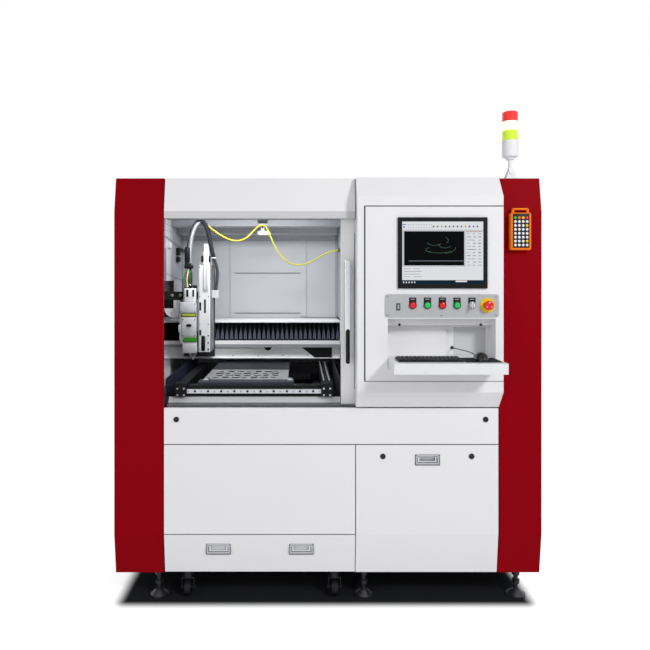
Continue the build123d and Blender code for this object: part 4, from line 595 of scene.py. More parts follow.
def assemble(name, body, parts, sharp=50):
    """Joins shaped parts, each with its material, into one piece that rides on a body."""
    mesh = bpy.data.meshes.new(name)
    whole = bmesh.new()
    finishes = []
    for part, finish in parts:
        if finish not in finishes:
            finishes.append(finish)
            mesh.materials.append(finish)
        for face in part.faces:
            face.material_index = finishes.index(finish)
        scratch = bpy.data.meshes.new("scratch")
        part.to_mesh(scratch)
        part.free()
        whole.from_mesh(scratch)
        bpy.data.meshes.remove(scratch)
    whole.to_mesh(mesh)
    whole.free()
    mesh.set_sharp_from_angle(angle=math.radians(sharp))
    piece = put_down(name, mesh)
    if body:
        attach(piece, body)
    return piece


def cord_piece(name, bm, *finishes):
    """A cord's mesh as an object, keeping what its rings know about their place on the line."""
    mesh = bpy.data.meshes.new(name)
    close_tube(bm)
    bm.to_mesh(mesh)
    bm.free()
    for finish in finishes:
        mesh.materials.append(finish)
    return put_down(name, mesh)


print("assemble joins parts into a piece")

# %% [markdown]
# ## Finishes
# The machine has few: white and red powder coat, a cooler white inside the chamber, bare
# and plated steel, aluminium, black moulded plastic, and bright plastics on the controls.

# %% Paints
WHITE = (232, 232, 235)
INSIDE_WHITE = (190, 193, 197)
FRAME_GREY = (196, 198, 202)
GUARD_NAVY = (40, 43, 58)
RED = (139, 2, 15)
BLACK = (22, 22, 25)

white_paint = coat("white powder coat", WHITE)
red_paint = coat("red powder coat", RED, bump=0.08, rough=0.55, drift=0.1, Specular_IOR_Level=0.03)
# The door frame is painted lighter than the other white paint: painted light against the shade the console housing
# casts on it.
door_paint = coat("white door frame in painted light", (248, 248, 249))
print("paints ready")

# %% Metals
ground_rail = metal("ground rail steel", (205, 207, 211), bump=0.1, shine=1.0, rough=0.2)
zinc_plate = metal(
    "zinc plating", (150, 152, 156), bump=0.12, shine=0.85, rough=0.4, streaks=(160.0, 160.0, 160.0),
    contrast=0.3,
)
satin_alu = metal(
    "satin aluminium", (214, 216, 220), bump=0.08, shine=0.8, rough=0.34, streaks=(900.0, 900.0, 14.0)
)
bright_chrome = metal("bright chrome", (214, 216, 220), bump=0.02, shine=1.0, rough=0.08, contrast=0.04)
bare_sheet = metal(
    "cut sheet steel", (190, 192, 194), bump=0.15, shine=0.75, rough=0.36, streaks=(14.0, 700.0, 700.0)
)
head_plate = metal(
    "head drawer plates", (202, 204, 208), bump=0.06, shine=0.15, rough=0.42,
    streaks=(20.0, 20.0, 500.0), contrast=0.1,
)
copper_tube = metal("copper tube", (176, 112, 70), bump=0.1, shine=0.9)
lock_steel = metal("quarter-turn lock", (44, 45, 49), bump=0.05, shine=0.7, rough=0.32)
foot_steel = metal(
    "levelling foot steel", (72, 72, 77), bump=0.06, shine=0.8, rough=0.34,
    regions=[region((46, 46, 50), 0.4, 0.6, z0=34)],
)
print("metals ready")

# %% Plastics, rubber, cloth and the pane
black_plastic = plastic("black plastic", BLACK, bump=0.15)
black_gloss = plastic("gloss black plastic", (14, 14, 17), rough=0.12, Coat_Weight=0.4)
bezel_black = plastic("monitor bezel", (9, 9, 11), bump=0.1, rough=0.35)
white_plastic = plastic("white plastic", (228, 229, 232), bump=0.05, rough=0.3)
grey_plastic = plastic("grey plastic", (168, 170, 174), bump=0.05)
inner_sheet = plastic("inner sheet", INSIDE_WHITE, bump=0.05)
seam_grey = plastic("seam line", (118, 121, 128), bump=0.05)
lens_red = plastic("red button", (224, 16, 34), rough=0.18, Coat_Weight=0.5)
lens_green = plastic("green button", (26, 190, 96), rough=0.18, Coat_Weight=0.5)
signal_yellow = plastic("signal yellow", (238, 200, 30))
pendant_orange = plastic("orange rubber", (244, 122, 24), bump=0.1, rough=0.4)
# The pale strips on the bellows' ridges are a painted highlight, where light catches the folds.
bellows_ridge_highlight = plastic("painted bellows ridge highlight", (92, 96, 108), bump=0.05)
marker_green = plastic("green drawer band", (56, 146, 34))
marker_olive = plastic("olive drawer band", (166, 176, 66))
olive_rim = plastic("olive band rim", (96, 108, 30))
wire_green = plastic("green wire", (44, 128, 66))
soft_black = surface("soft black mat", woven_cloth, (30, 30, 34), 0.5, {})
bellows_cloth = surface("bellows cloth", woven_cloth, (17, 18, 23), 0.35, {})
pane = plastic(
    "laser-safe pane", (196, 214, 206), bump=0.0, rough=0.03, Transmission_Weight=0.92, IOR=1.45
)
print("plastics ready")

# %% [markdown]
# ## Cords first
# Three soft lines belong to the machine: the yellow fibre lead from the wall gland to the
# head, the sleeved hose bundle over the head, and the mouse lead. Each follows its route in
# the drawing, the hose with a slightly lower and narrower arch, as control points of one
# smooth line, and is a ring extruded along that line. A ring has to be carried without
# twist, so each step turns it only as much as the line turns.

# %% Routes
FIBRE_ROUTE = [
    (96.4, 800, 1598), (52, 799, 1592), (2, 795, 1568), (-48, 788, 1536), (-102, 778, 1514),
    (-158, 764, 1512), (-208, 745, 1538), (-246, 722, 1584), (-274, 700, 1640), (-294, 688, 1688),
    (-305, 686, 1713), (-316, 685, 1728), (-333, 683, 1734), (-353, 682, 1727), (-376, 680, 1704),
    (-406, 677, 1670), (-444, 674, 1647), (-486, 671, 1644), (-530, 668, 1658), (-574, 665, 1684),
    (-614, 665, 1714), (-650, 661.5, 1746),
]
HOSE_ROUTE = [
    (-729, 645, 1470.5), (-729, 646, 1530), (-725, 645, 1606), (-714, 643, 1676), (-692, 643, 1732),
    (-658, 644, 1754), (-632, 646, 1718), (-618, 649, 1656), (-606, 653, 1590), (-590, 660, 1520),
    (-580, 667, 1446), (-588, 671, 1374),
]
MOUSE_ROUTE = [
    (632, -82.2, 1110), (631, -60, 1112), (622, -38, 1118), (604, -20, 1124), (582, -8, 1128),
    (566, 8, 1131), (560, 28, 1130), (560, 48, 1130),
]
fibre_line, hose_line, mouse_line = [
    smooth_line([place(*point) for point in route]) for route in (FIBRE_ROUTE, HOSE_ROUTE, MOUSE_ROUTE)
]
print("lengths", [round(length_of(line), 3) for line in (fibre_line, hose_line, mouse_line)])

# %% Fibre lead
FIBRE_RADIUS = 4 * MM
fibre_jacket = sleeve(
    "yellow fibre jacket", (214, 212, 64), (190, 186, 40), bump=0.2, winds=900.0, strands=3.0, rough=0.35,
    bump_depth=0.0004, Coat_Weight=0.2,
)
fibre_mesh = bmesh.new()
sweep_ring(fibre_mesh, fibre_line, FIBRE_RADIUS)
fibre_lead = cord_piece("fibre_lead", fibre_mesh, fibre_jacket)
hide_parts("fibre_cable")
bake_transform(fibre_lead, "machine", "x_carriage", start=place(-345, 682, 1740), end=place(-650, 664, 1740))

# %% [markdown]
# ## The hose bundle
# A braided sleeve holds the hoses together as far as the cable tie, and there they part
# into three. A thin air hose runs up the outside of the sleeve. The strands follow the same
# line, moved a few millimetres to the side, so they can't wander off the bundle.

# %% Hose bundle
HOSE_RADIUS = 12 * MM
STRAND_RADIUS = 5 * MM
AIR_HOSE_RADIUS = 4 * MM
TIE_HEIGHT = 1556 * MM
SLEEVE_FOOT, SLEEVE_CROWN = 1520, 1745
STRANDS = ((-6, 0, -4.5), (5.5, -3, 5.5), (0, 7, 2))
AIR_HOSE = (12.6, -2)
hose_sleeve = sleeve(
    "hose sleeve", (46, 47, 54), (12, 12, 15), bump=0.6, winds=700.0, strands=5.0, rough=0.5,
    bump_depth=0.0008,
    regions=[region((156, 158, 164), 0.3, 0.5, x1=-666, z0=SLEEVE_FOOT, z1=SLEEVE_CROWN)],
)
hose_grey = sleeve(
    "grey air hose", (112, 114, 120), (56, 57, 62), bump=0.2, winds=500.0, strands=1.0, rough=0.3,
    bump_depth=0.0003,
)
hose_black = sleeve(
    "black air hose", (26, 26, 30), (12, 12, 14), bump=0.2, winds=500.0, strands=1.0, rough=0.4,
    bump_depth=0.0003,
)


def beside(points, sideways, depth, bulge=0.0):
    """The same line moved to its outer side and in depth, with more room in its middle."""
    moved = []
    for index, point in enumerate(points):
        before, after = points[max(index - 1, 0)], points[min(index + 1, len(points) - 1)]
        heading = (after - before).normalized()
        outwards = Vector((-heading.z, 0, heading.x)).normalized()
        share = math.sin(math.pi * index / (len(points) - 1))
        moved.append(point + outwards * (sideways + bulge * share) * MM + Vector((0, depth * MM, 0)))
    return moved


tie_index = next(
    index for index, point in enumerate(hose_line) if index > len(hose_line) / 2 and point.z < TIE_HEIGHT
)
crown_index = max(range(len(hose_line)), key=lambda index: hose_line[index].z)
hose_mesh = bmesh.new()
sleeve_end = sweep_ring(hose_mesh, hose_line[: tie_index + 1], HOSE_RADIUS, 18)
sleeve_faces = len(hose_mesh.faces)
for sideways, depth, bulge in STRANDS:
    strand = beside(hose_line[tie_index:], sideways, depth, bulge)
    sweep_ring(hose_mesh, strand, STRAND_RADIUS, 12, sleeve_end)
strand_faces = len(hose_mesh.faces)
sweep_ring(hose_mesh, beside(hose_line[2: crown_index + 1], *AIR_HOSE), AIR_HOSE_RADIUS, 10)
hose_mesh.faces.ensure_lookup_table()
for index, face in enumerate(hose_mesh.faces):
    face.material_index = 0 if index < sleeve_faces else 1 if index < strand_faces else 2
hose_bundle = cord_piece("hose_bundle", hose_mesh, hose_sleeve, hose_grey, hose_black)
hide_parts("head_hose")
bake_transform(hose_bundle, "x_carriage", "z_head", start=place(-600, 645, 1740), end=place(-735, 645, 1740))

# %% Mouse lead
LEAD_RADIUS = 2 * MM
lead_grey = sleeve(
    "grey lead", (92, 93, 98), (80, 81, 86), bump=0.1, winds=400.0, strands=1.0, rough=0.4
)
lead_mesh = bmesh.new()
sweep_ring(lead_mesh, mouse_line, LEAD_RADIUS, 12)
mouse_lead = cord_piece("mouse_lead", lead_mesh, lead_grey)
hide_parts("mouse_cord")
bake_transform(mouse_lead, "console_door", "keyboard_tray", start=place(600, 10, 1125), end=place(600, -60, 1125))

# %% [markdown]
# ## Finishes on the frame's own pieces
# Where a sheet or casting is right as it stands, it only needs its surface. A few pieces
# are one welded part with two finishes, and there a box in space picks the second finish.
# Some boxes paint light or shade instead, such as the near-black painted shade on the caster
# forks under the frame.

# %% Painted covers
PULLS = {"drawer_pull_left": (-483, 248), "drawer_pull_right": (-117, 248), "flap_pull": (438, 644)}
PULL_HALF = (54, 24)
pull_regions = [
    region(
        (176, 178, 182), 0.35, 0.3, x0=x - PULL_HALF[0], x1=x + PULL_HALF[0], d0=-6, d1=22,
        z0=z - PULL_HALF[1], z1=z + PULL_HALF[1],
    )
    for x, z in PULLS.values()
]
cover_paint = coat("white cover with plated pulls", WHITE, regions=pull_regions)
# The grey band along the header's lower edge is painted shade.
header_paint = coat(
    "white roof and header with a painted shaded band", WHITE,
    regions=[region((202, 202, 204), 0.4, 0.0, x0=-745, x1=124, d1=30, z1=1737)],
)
back_paint = coat(
    "white back with fittings", WHITE,
    regions=[
        region((168, 170, 174), 0.35, 0.8, x0=-436, x1=-284, d0=1500.5, z0=484, z1=636),
        region(BLACK, 0.5, 0.0, x0=738, x1=782, d0=1500.5, z0=238, z1=282),
    ],
)
# Below the frame the plated caster forks are painted near-black: painted shade, as they stand in the dark under
# the machine.
frame_paint = coat(
    "frame paint with forks in painted shade", FRAME_GREY, bump=0.06,
    regions=[region((38, 39, 43), 0.4, 0.4, z1=136.8)],
)
# The side walls, the front of the left wall and a band on the ceiling's step are painted darker: painted shade.
liner_paint = coat(
    "chamber walls with painted shade", INSIDE_WHITE, rough=0.45,
    regions=[
        region((158, 161, 166), 0.45, 0.0, x0=90),
        region((172, 175, 180), 0.45, 0.0, x1=-830),
        region((128, 130, 135), 0.45, 0.0, d0=696, d1=704, z0=1726),
        region((120, 122, 127), 0.45, 0.0, x1=-820, d1=552, z0=850),
        region((60, 61, 66), 0.4, 0.3, x0=96, x1=104.8, d0=788, d1=812, z0=1586, z1=1610),
    ],
)
apron_paint = coat(
    "slide covers", (206, 208, 212),
    regions=[
        region(GUARD_NAVY, 0.4, 0.0, x0=60.5, x1=63.5, z0=867),
        region(GUARD_NAVY, 0.4, 0.0, x0=-742.5, x1=-739.5, z0=867),
        region((58, 60, 68), 0.5, 0.0, d0=122),
        region(GUARD_NAVY, 0.45, 0.0, x1=-724, z0=700),
    ],
)
print("cover finishes ready")

# %% Machinery inside the chamber
RAIL_BRIGHT = (200, 202, 206)
# The beam's covers are painted a brighter white than the housing as painted light, and the grey band low on the
# cover is painted shade on its underside.
beam_paint = coat(
    "beam covers and rails with painted light and shade", (244, 245, 247),
    regions=[
        region(RAIL_BRIGHT, 0.22, 1.0, d0=770, d1=789.8, z0=1100, z1=1174),
        region((150, 152, 158), 0.45, 0.0, d1=739, z0=1051, z1=1066),
    ],
)
# The first box paints the drive housing's right strip grey, as a side plate in painted shade.
carriage_paint = coat(
    "carriage parts with a painted shaded strip", (228, 229, 232),
    regions=[
        region((132, 134, 140), 0.45, 0.0, x0=-609, d1=700, z1=1515),
        region((60, 62, 68), 0.4, 0.4, d0=715.5),
        region((34, 34, 38), 0.4, 0.2, z0=1510.5, d1=695),
        region(RAIL_BRIGHT, 0.22, 1.0, x0=-679, x1=-672.2, z0=1050, z1=1490),
        region((14, 14, 17), 0.5, 0.0, x1=-779, z1=1326),
        region((50, 54, 52), 0.4, 0.3, x0=-889, x1=-690.5, z0=1318, z1=1364),
        region((206, 208, 212), 0.4, 0.0, x0=-606.5, d0=640, d1=695, z0=1329, z1=1373),
    ],
)
head_metal = metal(
    "cutting head castings", (196, 198, 204), bump=0.08, shine=0.25, rough=0.4,
    streaks=(300.0, 300.0, 20.0),
    regions=[
        region((216, 218, 222), 0.25, 0.8, z0=1377.5, z1=1405),
        region((22, 22, 26), 0.4, 0.1, z0=1405),
        region((226, 214, 196), 0.3, 0.5, z1=1013),
        region((214, 216, 222), 0.2, 0.7, z0=1013, z1=1036),
    ],
)
table_metal = metal(
    "table bars", (13, 13, 16), bump=0.08, shine=0.0, rough=0.5,
    regions=[
        region((198, 200, 206), 0.3, 0.5, x0=-639, x1=-26, d0=98, d1=114.8, z0=914, z1=934),
        region((50, 54, 62), 0.45, 0.0, x0=-610, x1=-140, d0=118, d1=211, z0=947.5),
        region((34, 36, 42), 0.45, 0.0, x0=-600, x1=-170, d0=465, d1=762, z0=945.5),
    ],
)
bed_paint = coat("bed beams", (34, 36, 44), bump=0.06, regions=[region(RAIL_BRIGHT, 0.25, 1.0, z0=850.5)])
clamp_steel = metal(
    "clamp steel", (86, 88, 94), bump=0.06, shine=0.6, rough=0.35,
    regions=[region((206, 208, 212), 0.3, 0.6, z0=971)],
)
hanger_metal = coat(
    "cable hanger", (222, 224, 228),
    regions=[
        region((60, 60, 64), 0.4, 0.2, d1=693.5, z0=1710),
        region((24, 24, 27), 0.4, 0.0, z0=1739.5),
    ],
)
print("machinery finishes ready")

# %% Control plate and niche
PLATE_FRONT = -65
LABEL_FACE = PLATE_FRONT - 0.2
LABEL_ALU = (150, 152, 156)
plate_metal = coat(
    "grey control plate", (180, 182, 185), bump=0.06,
    regions=[
        region((24, 24, 27), 0.4, 0.0, d1=LABEL_FACE, z0=1296, z1=1359.3),
        region(LABEL_ALU, 0.3, 0.8, d1=LABEL_FACE, z0=1359.3),
        region(LABEL_ALU, 0.3, 0.8, d1=LABEL_FACE, z1=1296),
        region((240, 196, 20), 0.35, 0.0, x0=648, x1=714, d1=LABEL_FACE, z0=1294, z1=1358),
    ],
)
# In the niche the walls are painted a little lighter than the door as painted light, and the deeper recess on the
# right darker as painted shade.
niche_paint = coat(
    "console door with painted light and shade in its niche", WHITE,
    regions=[
        region((236, 236, 238), 0.4, 0.0, x0=240, x1=724, d0=-59, z0=1095, z1=1280),
        region((208, 209, 212), 0.4, 0.0, x0=566, x1=706, d0=40, z0=1095, z1=1225),
        region(BLACK, 0.5, 0.0, d0=46, d1=53.8, x0=550, x1=570, z0=1120, z1=1140),
    ],
)
print("console finishes ready")

# %% Paint the frame's pieces
FINISHES = {
    red_paint: ["pillar_covers"],
    header_paint: ["roof_cover"],
    door_paint: ["door_frame"],
    white_paint: ["side_panels", "lower_left_panel", "console_housing",
                  "sill_flap", "laser_source", "control_cabinet", "signal_tower_base", "signal_column"],
    niche_paint: ["console_door"],
    cover_paint: ["service_flap", "scrap_drawer"],
    back_paint: ["rear_panel"],
    frame_paint: ["base_frame"],
    liner_paint: ["chamber_liner"],
    apron_paint: ["slide_covers"],
    beam_paint: ["gantry_beam"],
    carriage_paint: ["x_carriage"],
    head_metal: ["cutting_head"],
    table_metal: ["table_frame"],
    bed_paint: ["machine_bed"],
    hanger_metal: ["cable_bracket"],
    plate_metal: ["button_plate"],
    bezel_black: ["monitor"],
    pane: ["door_window"],
    white_plastic: ["keyboard_tray"],
    clamp_steel: ["sheet_clamps"],
    soft_black: ["mouse_mat"],
    ground_rail: ["door_rails"],
    bare_sheet: ["work_sheet"],
    foot_steel: ["levelling_feet"],
    lock_steel: ["sill_lock_left", "sill_lock_right", "flap_lock_left", "flap_lock_right"],
    bright_chrome: ["flap_bail", "drawer_bail_left", "drawer_bail_right", "key_switch"],
    black_plastic: ["caster_wheel_front_left", "caster_wheel_front_right", "caster_wheel_rear_left",
                    "caster_wheel_rear_right"],
    lens_red: ["button_red_left", "button_red_right", "estop_button"],
    lens_green: ["button_green_left", "button_green_right"],
}
for finish, names in FINISHES.items():
    for name in names:
        painted = nodes[name]
        if not painted.material_slots:
            painted.data.materials.append(finish)
        for slot in painted.material_slots:
            slot.material = finish
print("painted", sum(len(names) for names in FINISHES.values()), "pieces")

# %% [markdown]
# ## Bellows
# A folded cloth cover shields the beam's rails on each side of the carriage. Real ones are
# cloth folded over thin plastic strips; the pale strip that tapers upwards on each ridge here
# is a painted highlight, where light catches the folds. A zigzag line extruded upwards gives
# the cloth and solidify gives its thickness.
# The left one's end at the carriage rides with it, so the left one stretches and shuts as the
# carriage moves; the right one stays fixed to the machine.

# %% Bellows
FOLDS = 27
FOLD_FRONT, FOLD_BACK = 742, 766
FOLD_LOW, FOLD_HIGH = 1089, 1185
CLOTH_THICK = 1.2
# A strip's outline: a share of its half width, and a height over the foot of the cloth.
STRIP = (
    (-1, 5), (1, 5), (0.9, 32), (0.42, 52), (0.14, 64), (0, 90), (-0.14, 64), (-0.42, 52), (-0.9, 32),
)
STRIP_HALF, STRIP_SHARE = 8.5, 0.33
STRIP_OUT, STRIP_IN = 1.4, 1


def bellows(name, x0, x1):
    """A zigzag of cloth between two lines, with a tapered pale strip on each ridge as a painted highlight."""
    pitch = (x1 - x0) / FOLDS
    bm = bmesh.new()
    corners = [
        bm.verts.new(place(x0 + pitch * step / 2, FOLD_BACK if step % 2 == 0 else FOLD_FRONT, FOLD_LOW))
        for step in range(2 * FOLDS + 1)
    ]
    edges = [bm.edges.new(pair) for pair in zip(corners, corners[1:])]
    grown = bmesh.ops.extrude_edge_only(bm, edges=edges)["geom"]
    lift = Vector((0, 0, (FOLD_HIGH - FOLD_LOW) * MM))
    bmesh.ops.translate(bm, vec=lift, verts=verts_of(grown))
    bmesh.ops.solidify(bm, geom=list(bm.faces), thickness=CLOTH_THICK * MM)
    bmesh.ops.recalc_face_normals(bm, faces=bm.faces)
    parts = [(bm, bellows_cloth)]
    half = min(STRIP_HALF, STRIP_SHARE * pitch)
    for fold in range(FOLDS):
        ridge = x0 + pitch * (fold + 0.5)
        outline = [(ridge + share * half, FOLD_LOW + up) for share, up in STRIP]
        parts.append((plate(outline, FOLD_FRONT - STRIP_OUT, FOLD_FRONT + STRIP_IN), bellows_ridge_highlight))
    return assemble(name, None, parts, sharp=30)


bellows_right = bellows("bellows_skin_right", -599.5, 102.5)
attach(bellows_right, "machine")
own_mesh(bellows_right)
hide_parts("bellows_right")
bellows_left = bellows("bellows_skin_left", -899.5, -772.5)
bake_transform(bellows_left, "machine", "x_carriage", start=place(-899.5, 755, 1137), end=place(-772.5, 755, 1137))
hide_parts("bellows_left")

# %% [markdown]
# ## The console's screen
# The screen is on, showing a drawing program: pale tool rows, a black drawing field and a
# dark bar along the bottom. It is drawn as thin tiles of light laid on the screen, each
# placed as a share of the screen's width and height, so the layout holds at any size.

# %% Lit materials
SCREEN_GLOW = 0.85


def lit(name, colour):
    """A small lit area: nearly black by itself, and bright by its own light."""
    return plastic(
        name, (5, 5, 6), bump=0.0, rough=0.25, Specular_IOR_Level=0.02,
        Emission_Color=srgb(*colour), Emission_Strength=SCREEN_GLOW,
    )


screen_white = lit("screen white", (236, 238, 242))
screen_grey = lit("screen grey", (206, 209, 216))
screen_mark = lit("screen mark", (84, 90, 104))
screen_soft = lit("screen soft mark", (150, 158, 172))
screen_black = lit("screen field", (6, 7, 9))
screen_teal = lit("screen bar", (18, 40, 54))
screen_line = lit("screen outline", (96, 134, 104))
screen_blue = lit("screen blue", (66, 124, 196))
screen_amber = lit("screen amber", (214, 160, 60))
screen_red = lit("screen red", (196, 62, 52))
print("lit materials ready")

# %% Screen layout
SCREEN = (315, 663, 1416, 1685)
SCREEN_DEPTH = -67
BASE, FIELD, MARK = 0.3, 0.5, 0.7
ARC_STEPS = 16
LINE_RADIUS = 0.55 * MM
# Each arc: its middle, its two half sizes as shares of the screen, and its start and end in degrees.
ARCS = (
    (0.40, 0.33, 0.09, 0.05, 190, 340), (0.53, 0.36, 0.08, 0.06, 180, 330),
    (0.45, 0.46, 0.15, 0.04, 180, 350), (0.52, 0.30, 0.05, 0.05, 300, 430),
    (0.50, 0.41, 0.16, 0.10, 280, 360), (0.34, 0.45, 0.05, 0.03, 90, 290),
)


def tile(finish, u0, u1, v0, v1, lift=MARK):
    """A thin tile on the screen; u runs right and v runs down, from 0 to 1."""
    left, right, low, high = SCREEN
    wide, tall = right - left, high - low
    shape = rounded_block(
        left + u0 * wide, left + u1 * wide, SCREEN_DEPTH - lift, SCREEN_DEPTH, high - v1 * tall,
        high - v0 * tall,
    )
    return shape, finish


def screen_parts():
    """Every tile of the picture on the screen."""
    parts = [
        tile(screen_grey, 0, 1, 0, 1, BASE),
        tile(screen_white, 0, 1, 0, 0.13, FIELD),
        tile(screen_black, 0.025, 0.765, 0.155, 0.70, FIELD),
        tile(screen_white, 0.785, 1, 0.15, 0.93, FIELD),
        tile(screen_white, 0, 0.785, 0.72, 0.93, FIELD),
        tile(screen_teal, 0, 1, 0.935, 1, FIELD),
        tile(screen_blue, 0.005, 0.045, 0.04, 0.055),
        tile(screen_blue, 0.015, 0.035, 0.075, 0.10),
    ]
    for column in range(10):
        u = 0.07 + 0.032 * column
        parts += [tile(screen_mark, u, u + 0.012, 0.045, 0.052), tile(screen_soft, u, u + 0.02, 0.098, 0.104)]
    icons = (screen_mark, screen_mark, screen_amber, screen_mark, screen_blue, screen_mark)
    for column in range(12):
        u = 0.38 + 0.049 * column
        parts.append(tile(icons[column % len(icons)], u, u + 0.019, 0.066, 0.092))
    parts.append(tile(screen_red, 0.79, 0.99, 0.158, 0.166))
    for row in range(11):
        v = 0.19 + 0.05 * row
        odd = screen_mark if row % 2 else screen_soft
        flagged = screen_mark if row in (1, 3, 6) else screen_soft
        parts += [
            tile(odd, 0.80, 0.83 + 0.02 * (row % 3), v, v + 0.009),
            tile(screen_soft, 0.87, 0.90 + 0.015 * (row % 2), v, v + 0.012),
            tile(flagged, 0.94, 0.975, v, v + 0.012),
        ]
    for row in range(4):
        v = 0.75 + 0.042 * row
        parts += [
            tile(screen_soft, 0.02, 0.10 + 0.04 * (row % 3), v, v + 0.008),
            tile(screen_soft, 0.14, 0.22 + 0.02 * (row % 2), v, v + 0.008),
        ]
    parts.append(tile(screen_soft, 0.08, 0.765, 0.625, 0.632))
    for column in range(5):
        u = 0.012 + 0.034 * column
        parts.append(tile(screen_white, u, u + 0.014, 0.956, 0.982))
    parts.append(tile(screen_white, 0.66, 0.80, 0.94, 0.965))
    return parts


def outline_arc(u, v, wide, tall, start, end):
    """A thin curved line on the drawing field, as part of an ellipse."""
    left, right, low, high = SCREEN
    points = []
    for step in range(ARC_STEPS + 1):
        angle = math.radians(start + (end - start) * step / ARC_STEPS)
        x = left + (u + wide * math.cos(angle)) * (right - left)
        z = high - (v - tall * math.sin(angle)) * (high - low)
        points.append(place(x, SCREEN_DEPTH - MARK, z))
    return swept(points, LINE_RADIUS, 5)


screen_picture = screen_parts() + [(outline_arc(*arc), screen_line) for arc in ARCS]
assemble("screen_picture", "console_door", screen_picture)

# %% [markdown]
# ## Controls
# Push buttons are turned parts: a collar, a thin shadow gap and a domed coloured cap.
# The emergency stop is a wide mushroom on a yellow disc. Each cap rides on its own body, so
# it sinks when pressed, while collars and labels stay on the plate.

# %% Push buttons
CONTROL_Z = 1326
BUTTONS = {"red_left": 361, "green_left": 424, "red_right": 488, "green_right": 551}
KEY_X, ESTOP_X = 615, 681
LABEL_HALF = 9
LABEL_DEPTH, LABEL_HEIGHT = (PLATE_FRONT - 2.1, PLATE_FRONT - 1.4), (1350.5, 1353.5)
CAP_PROFILE = [(0, -3), (12.4, -3), (12.4, 7.5), (11.8, 9.2), (9.5, 10.4), (5, 11), (0, 11.2)]
COLLAR_PROFILE = [(12.9, 0), (16.4, 0), (16.4, 5), (15.6, 7), (13.4, 7.6), (12.9, 7), (12.9, 0)]
STEM_PROFILE = rod(7.8, -14, -2)
collar_red = plastic("red collar", (120, 12, 22))
collar_green = plastic("green collar", (22, 92, 56))

collars = []
for button, x in BUTTONS.items():
    colour, collar, slot = lens_green, collar_green, "button_green"
    if button.startswith("red"):
        colour, collar, slot = lens_red, collar_red, "button_red"
    body, middle = "button_" + button, (x, PLATE_FRONT, CONTROL_Z)
    cap = assemble("cap_" + button, body, turnings(colour, CAP_PROFILE, middle), sharp=40)
    stem = turnings(black_plastic, STEM_PROFILE, middle)
    assemble("stem_" + button, body, stem)
    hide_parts(body)
    collars += turnings(collar, COLLAR_PROFILE, middle)
collars += turnings(zinc_plate, COLLAR_PROFILE, (KEY_X, PLATE_FRONT, CONTROL_Z))
for x in (*BUTTONS.values(), KEY_X):
    collars += blocks(grey_plastic, (x - LABEL_HALF, x + LABEL_HALF, *LABEL_DEPTH, *LABEL_HEIGHT))
assemble("button_collars", "console_door", collars, sharp=40)

# %% Emergency stop
MUSHROOM = [
    (0, 10), (13, 10), (13, 19), (17, 20), (20, 22.5), (20.4, 25), (19.6, 28), (16, 30.2), (9, 31.4),
    (0, 31.8),
]
RIM_PROFILE = [(15, 0), (31.5, 0), (31.5, 3), (30, 4.6), (26, 5), (15, 5), (15, 0)]
NECK_PROFILE = [(14, 4), (17, 4), (17, 9), (14, 9), (14, 4)]
ARROW = ((-3, -1.2), (1, -1.2), (3.4, 0), (1, 1.2), (-3, 1.2))
ARROW_RING = 11.5
ARROW_DEPTH = (PLATE_FRONT - 31.6, PLATE_FRONT - 29)
STOP_MIDDLE = (ESTOP_X, PLATE_FRONT, CONTROL_Z)
stop_head = turnings(lens_red, MUSHROOM, STOP_MIDDLE, steps=40)
for angle in (90, 210, 330):
    x = ESTOP_X + ARROW_RING * math.cos(math.radians(angle))
    z = CONTROL_Z + ARROW_RING * math.sin(math.radians(angle))
    mark = [(x + right, z + up) for right, up in ARROW]
    stop_head.append((plate(mark, *ARROW_DEPTH), white_plastic))
emergency_stop = assemble("stop_mushroom", "estop_button", stop_head, sharp=40)
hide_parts("estop_button")
stop_base = turnings(signal_yellow, RIM_PROFILE, STOP_MIDDLE, steps=40)
stop_base += turnings(black_plastic, NECK_PROFILE, STOP_MIDDLE)
assemble("stop_disc", "console_door", stop_base, sharp=40)

# %% Port and plate screws
SCREW_HEAD = disc(4.4, 2.8)
SLOT_HALF, SLOT_DEPTH = (2.6, 0.5), (PLATE_FRONT - 3, PLATE_FRONT - 2.6)
port = blocks(black_gloss, (291.5, 306.5, PLATE_FRONT - 3.4, PLATE_FRONT - 1.8, 1305, 1333), radius=1)
port += blocks(grey_plastic, (295, 303, PLATE_FRONT - 3.9, PLATE_FRONT - 3, 1309, 1329), radius=0.6)
for x in (253, 486.5, 720):
    for z in (1284, 1363):
        port += turnings(zinc_plate, SCREW_HEAD, (x, PLATE_FRONT, z), steps=16)
        wide, tall = SLOT_HALF
        # The slot across each head is a thin dark block: painted shade in the slot.
        port += blocks(black_plastic, (x - wide, x + wide, *SLOT_DEPTH, z - tall, z + tall))
assemble("plate_fittings", "console_door", port)

# %% [markdown]
# ## Keyboard and mouse
# A keyboard reads as a keyboard through its separate caps, so each cap is its own block
# with eased edges, a little smaller on top. The mouse starts as a sphere, flattened below
# and narrowed at the waist, which gives its palm shape better than any block would.

# %% Keyboard
KEYBOARD = (282, 552, -186, -84)
TRAY_TOP = 1099
CASE_FRONT, CASE_BACK, CASE_EDGE = 6, 10, 5
KEY_ROWS, KEY_COLUMNS = 5, 15
KEY_GAP = 0.8
KEY_EDGE = 1.1
KEY_SINK, KEY_RISE = 1, 4
# The pale mark on a key: its place from the key's corner, right, back and up.
FLECK = ((5, 8.5), (10.5, 12.5), (3.7, 4.2))
TOP_SHARE = (0.8, 0.82, 1)
SPACE_ROW, SPACE_COLUMN, SPACE_WIDE = 0, 4, 6


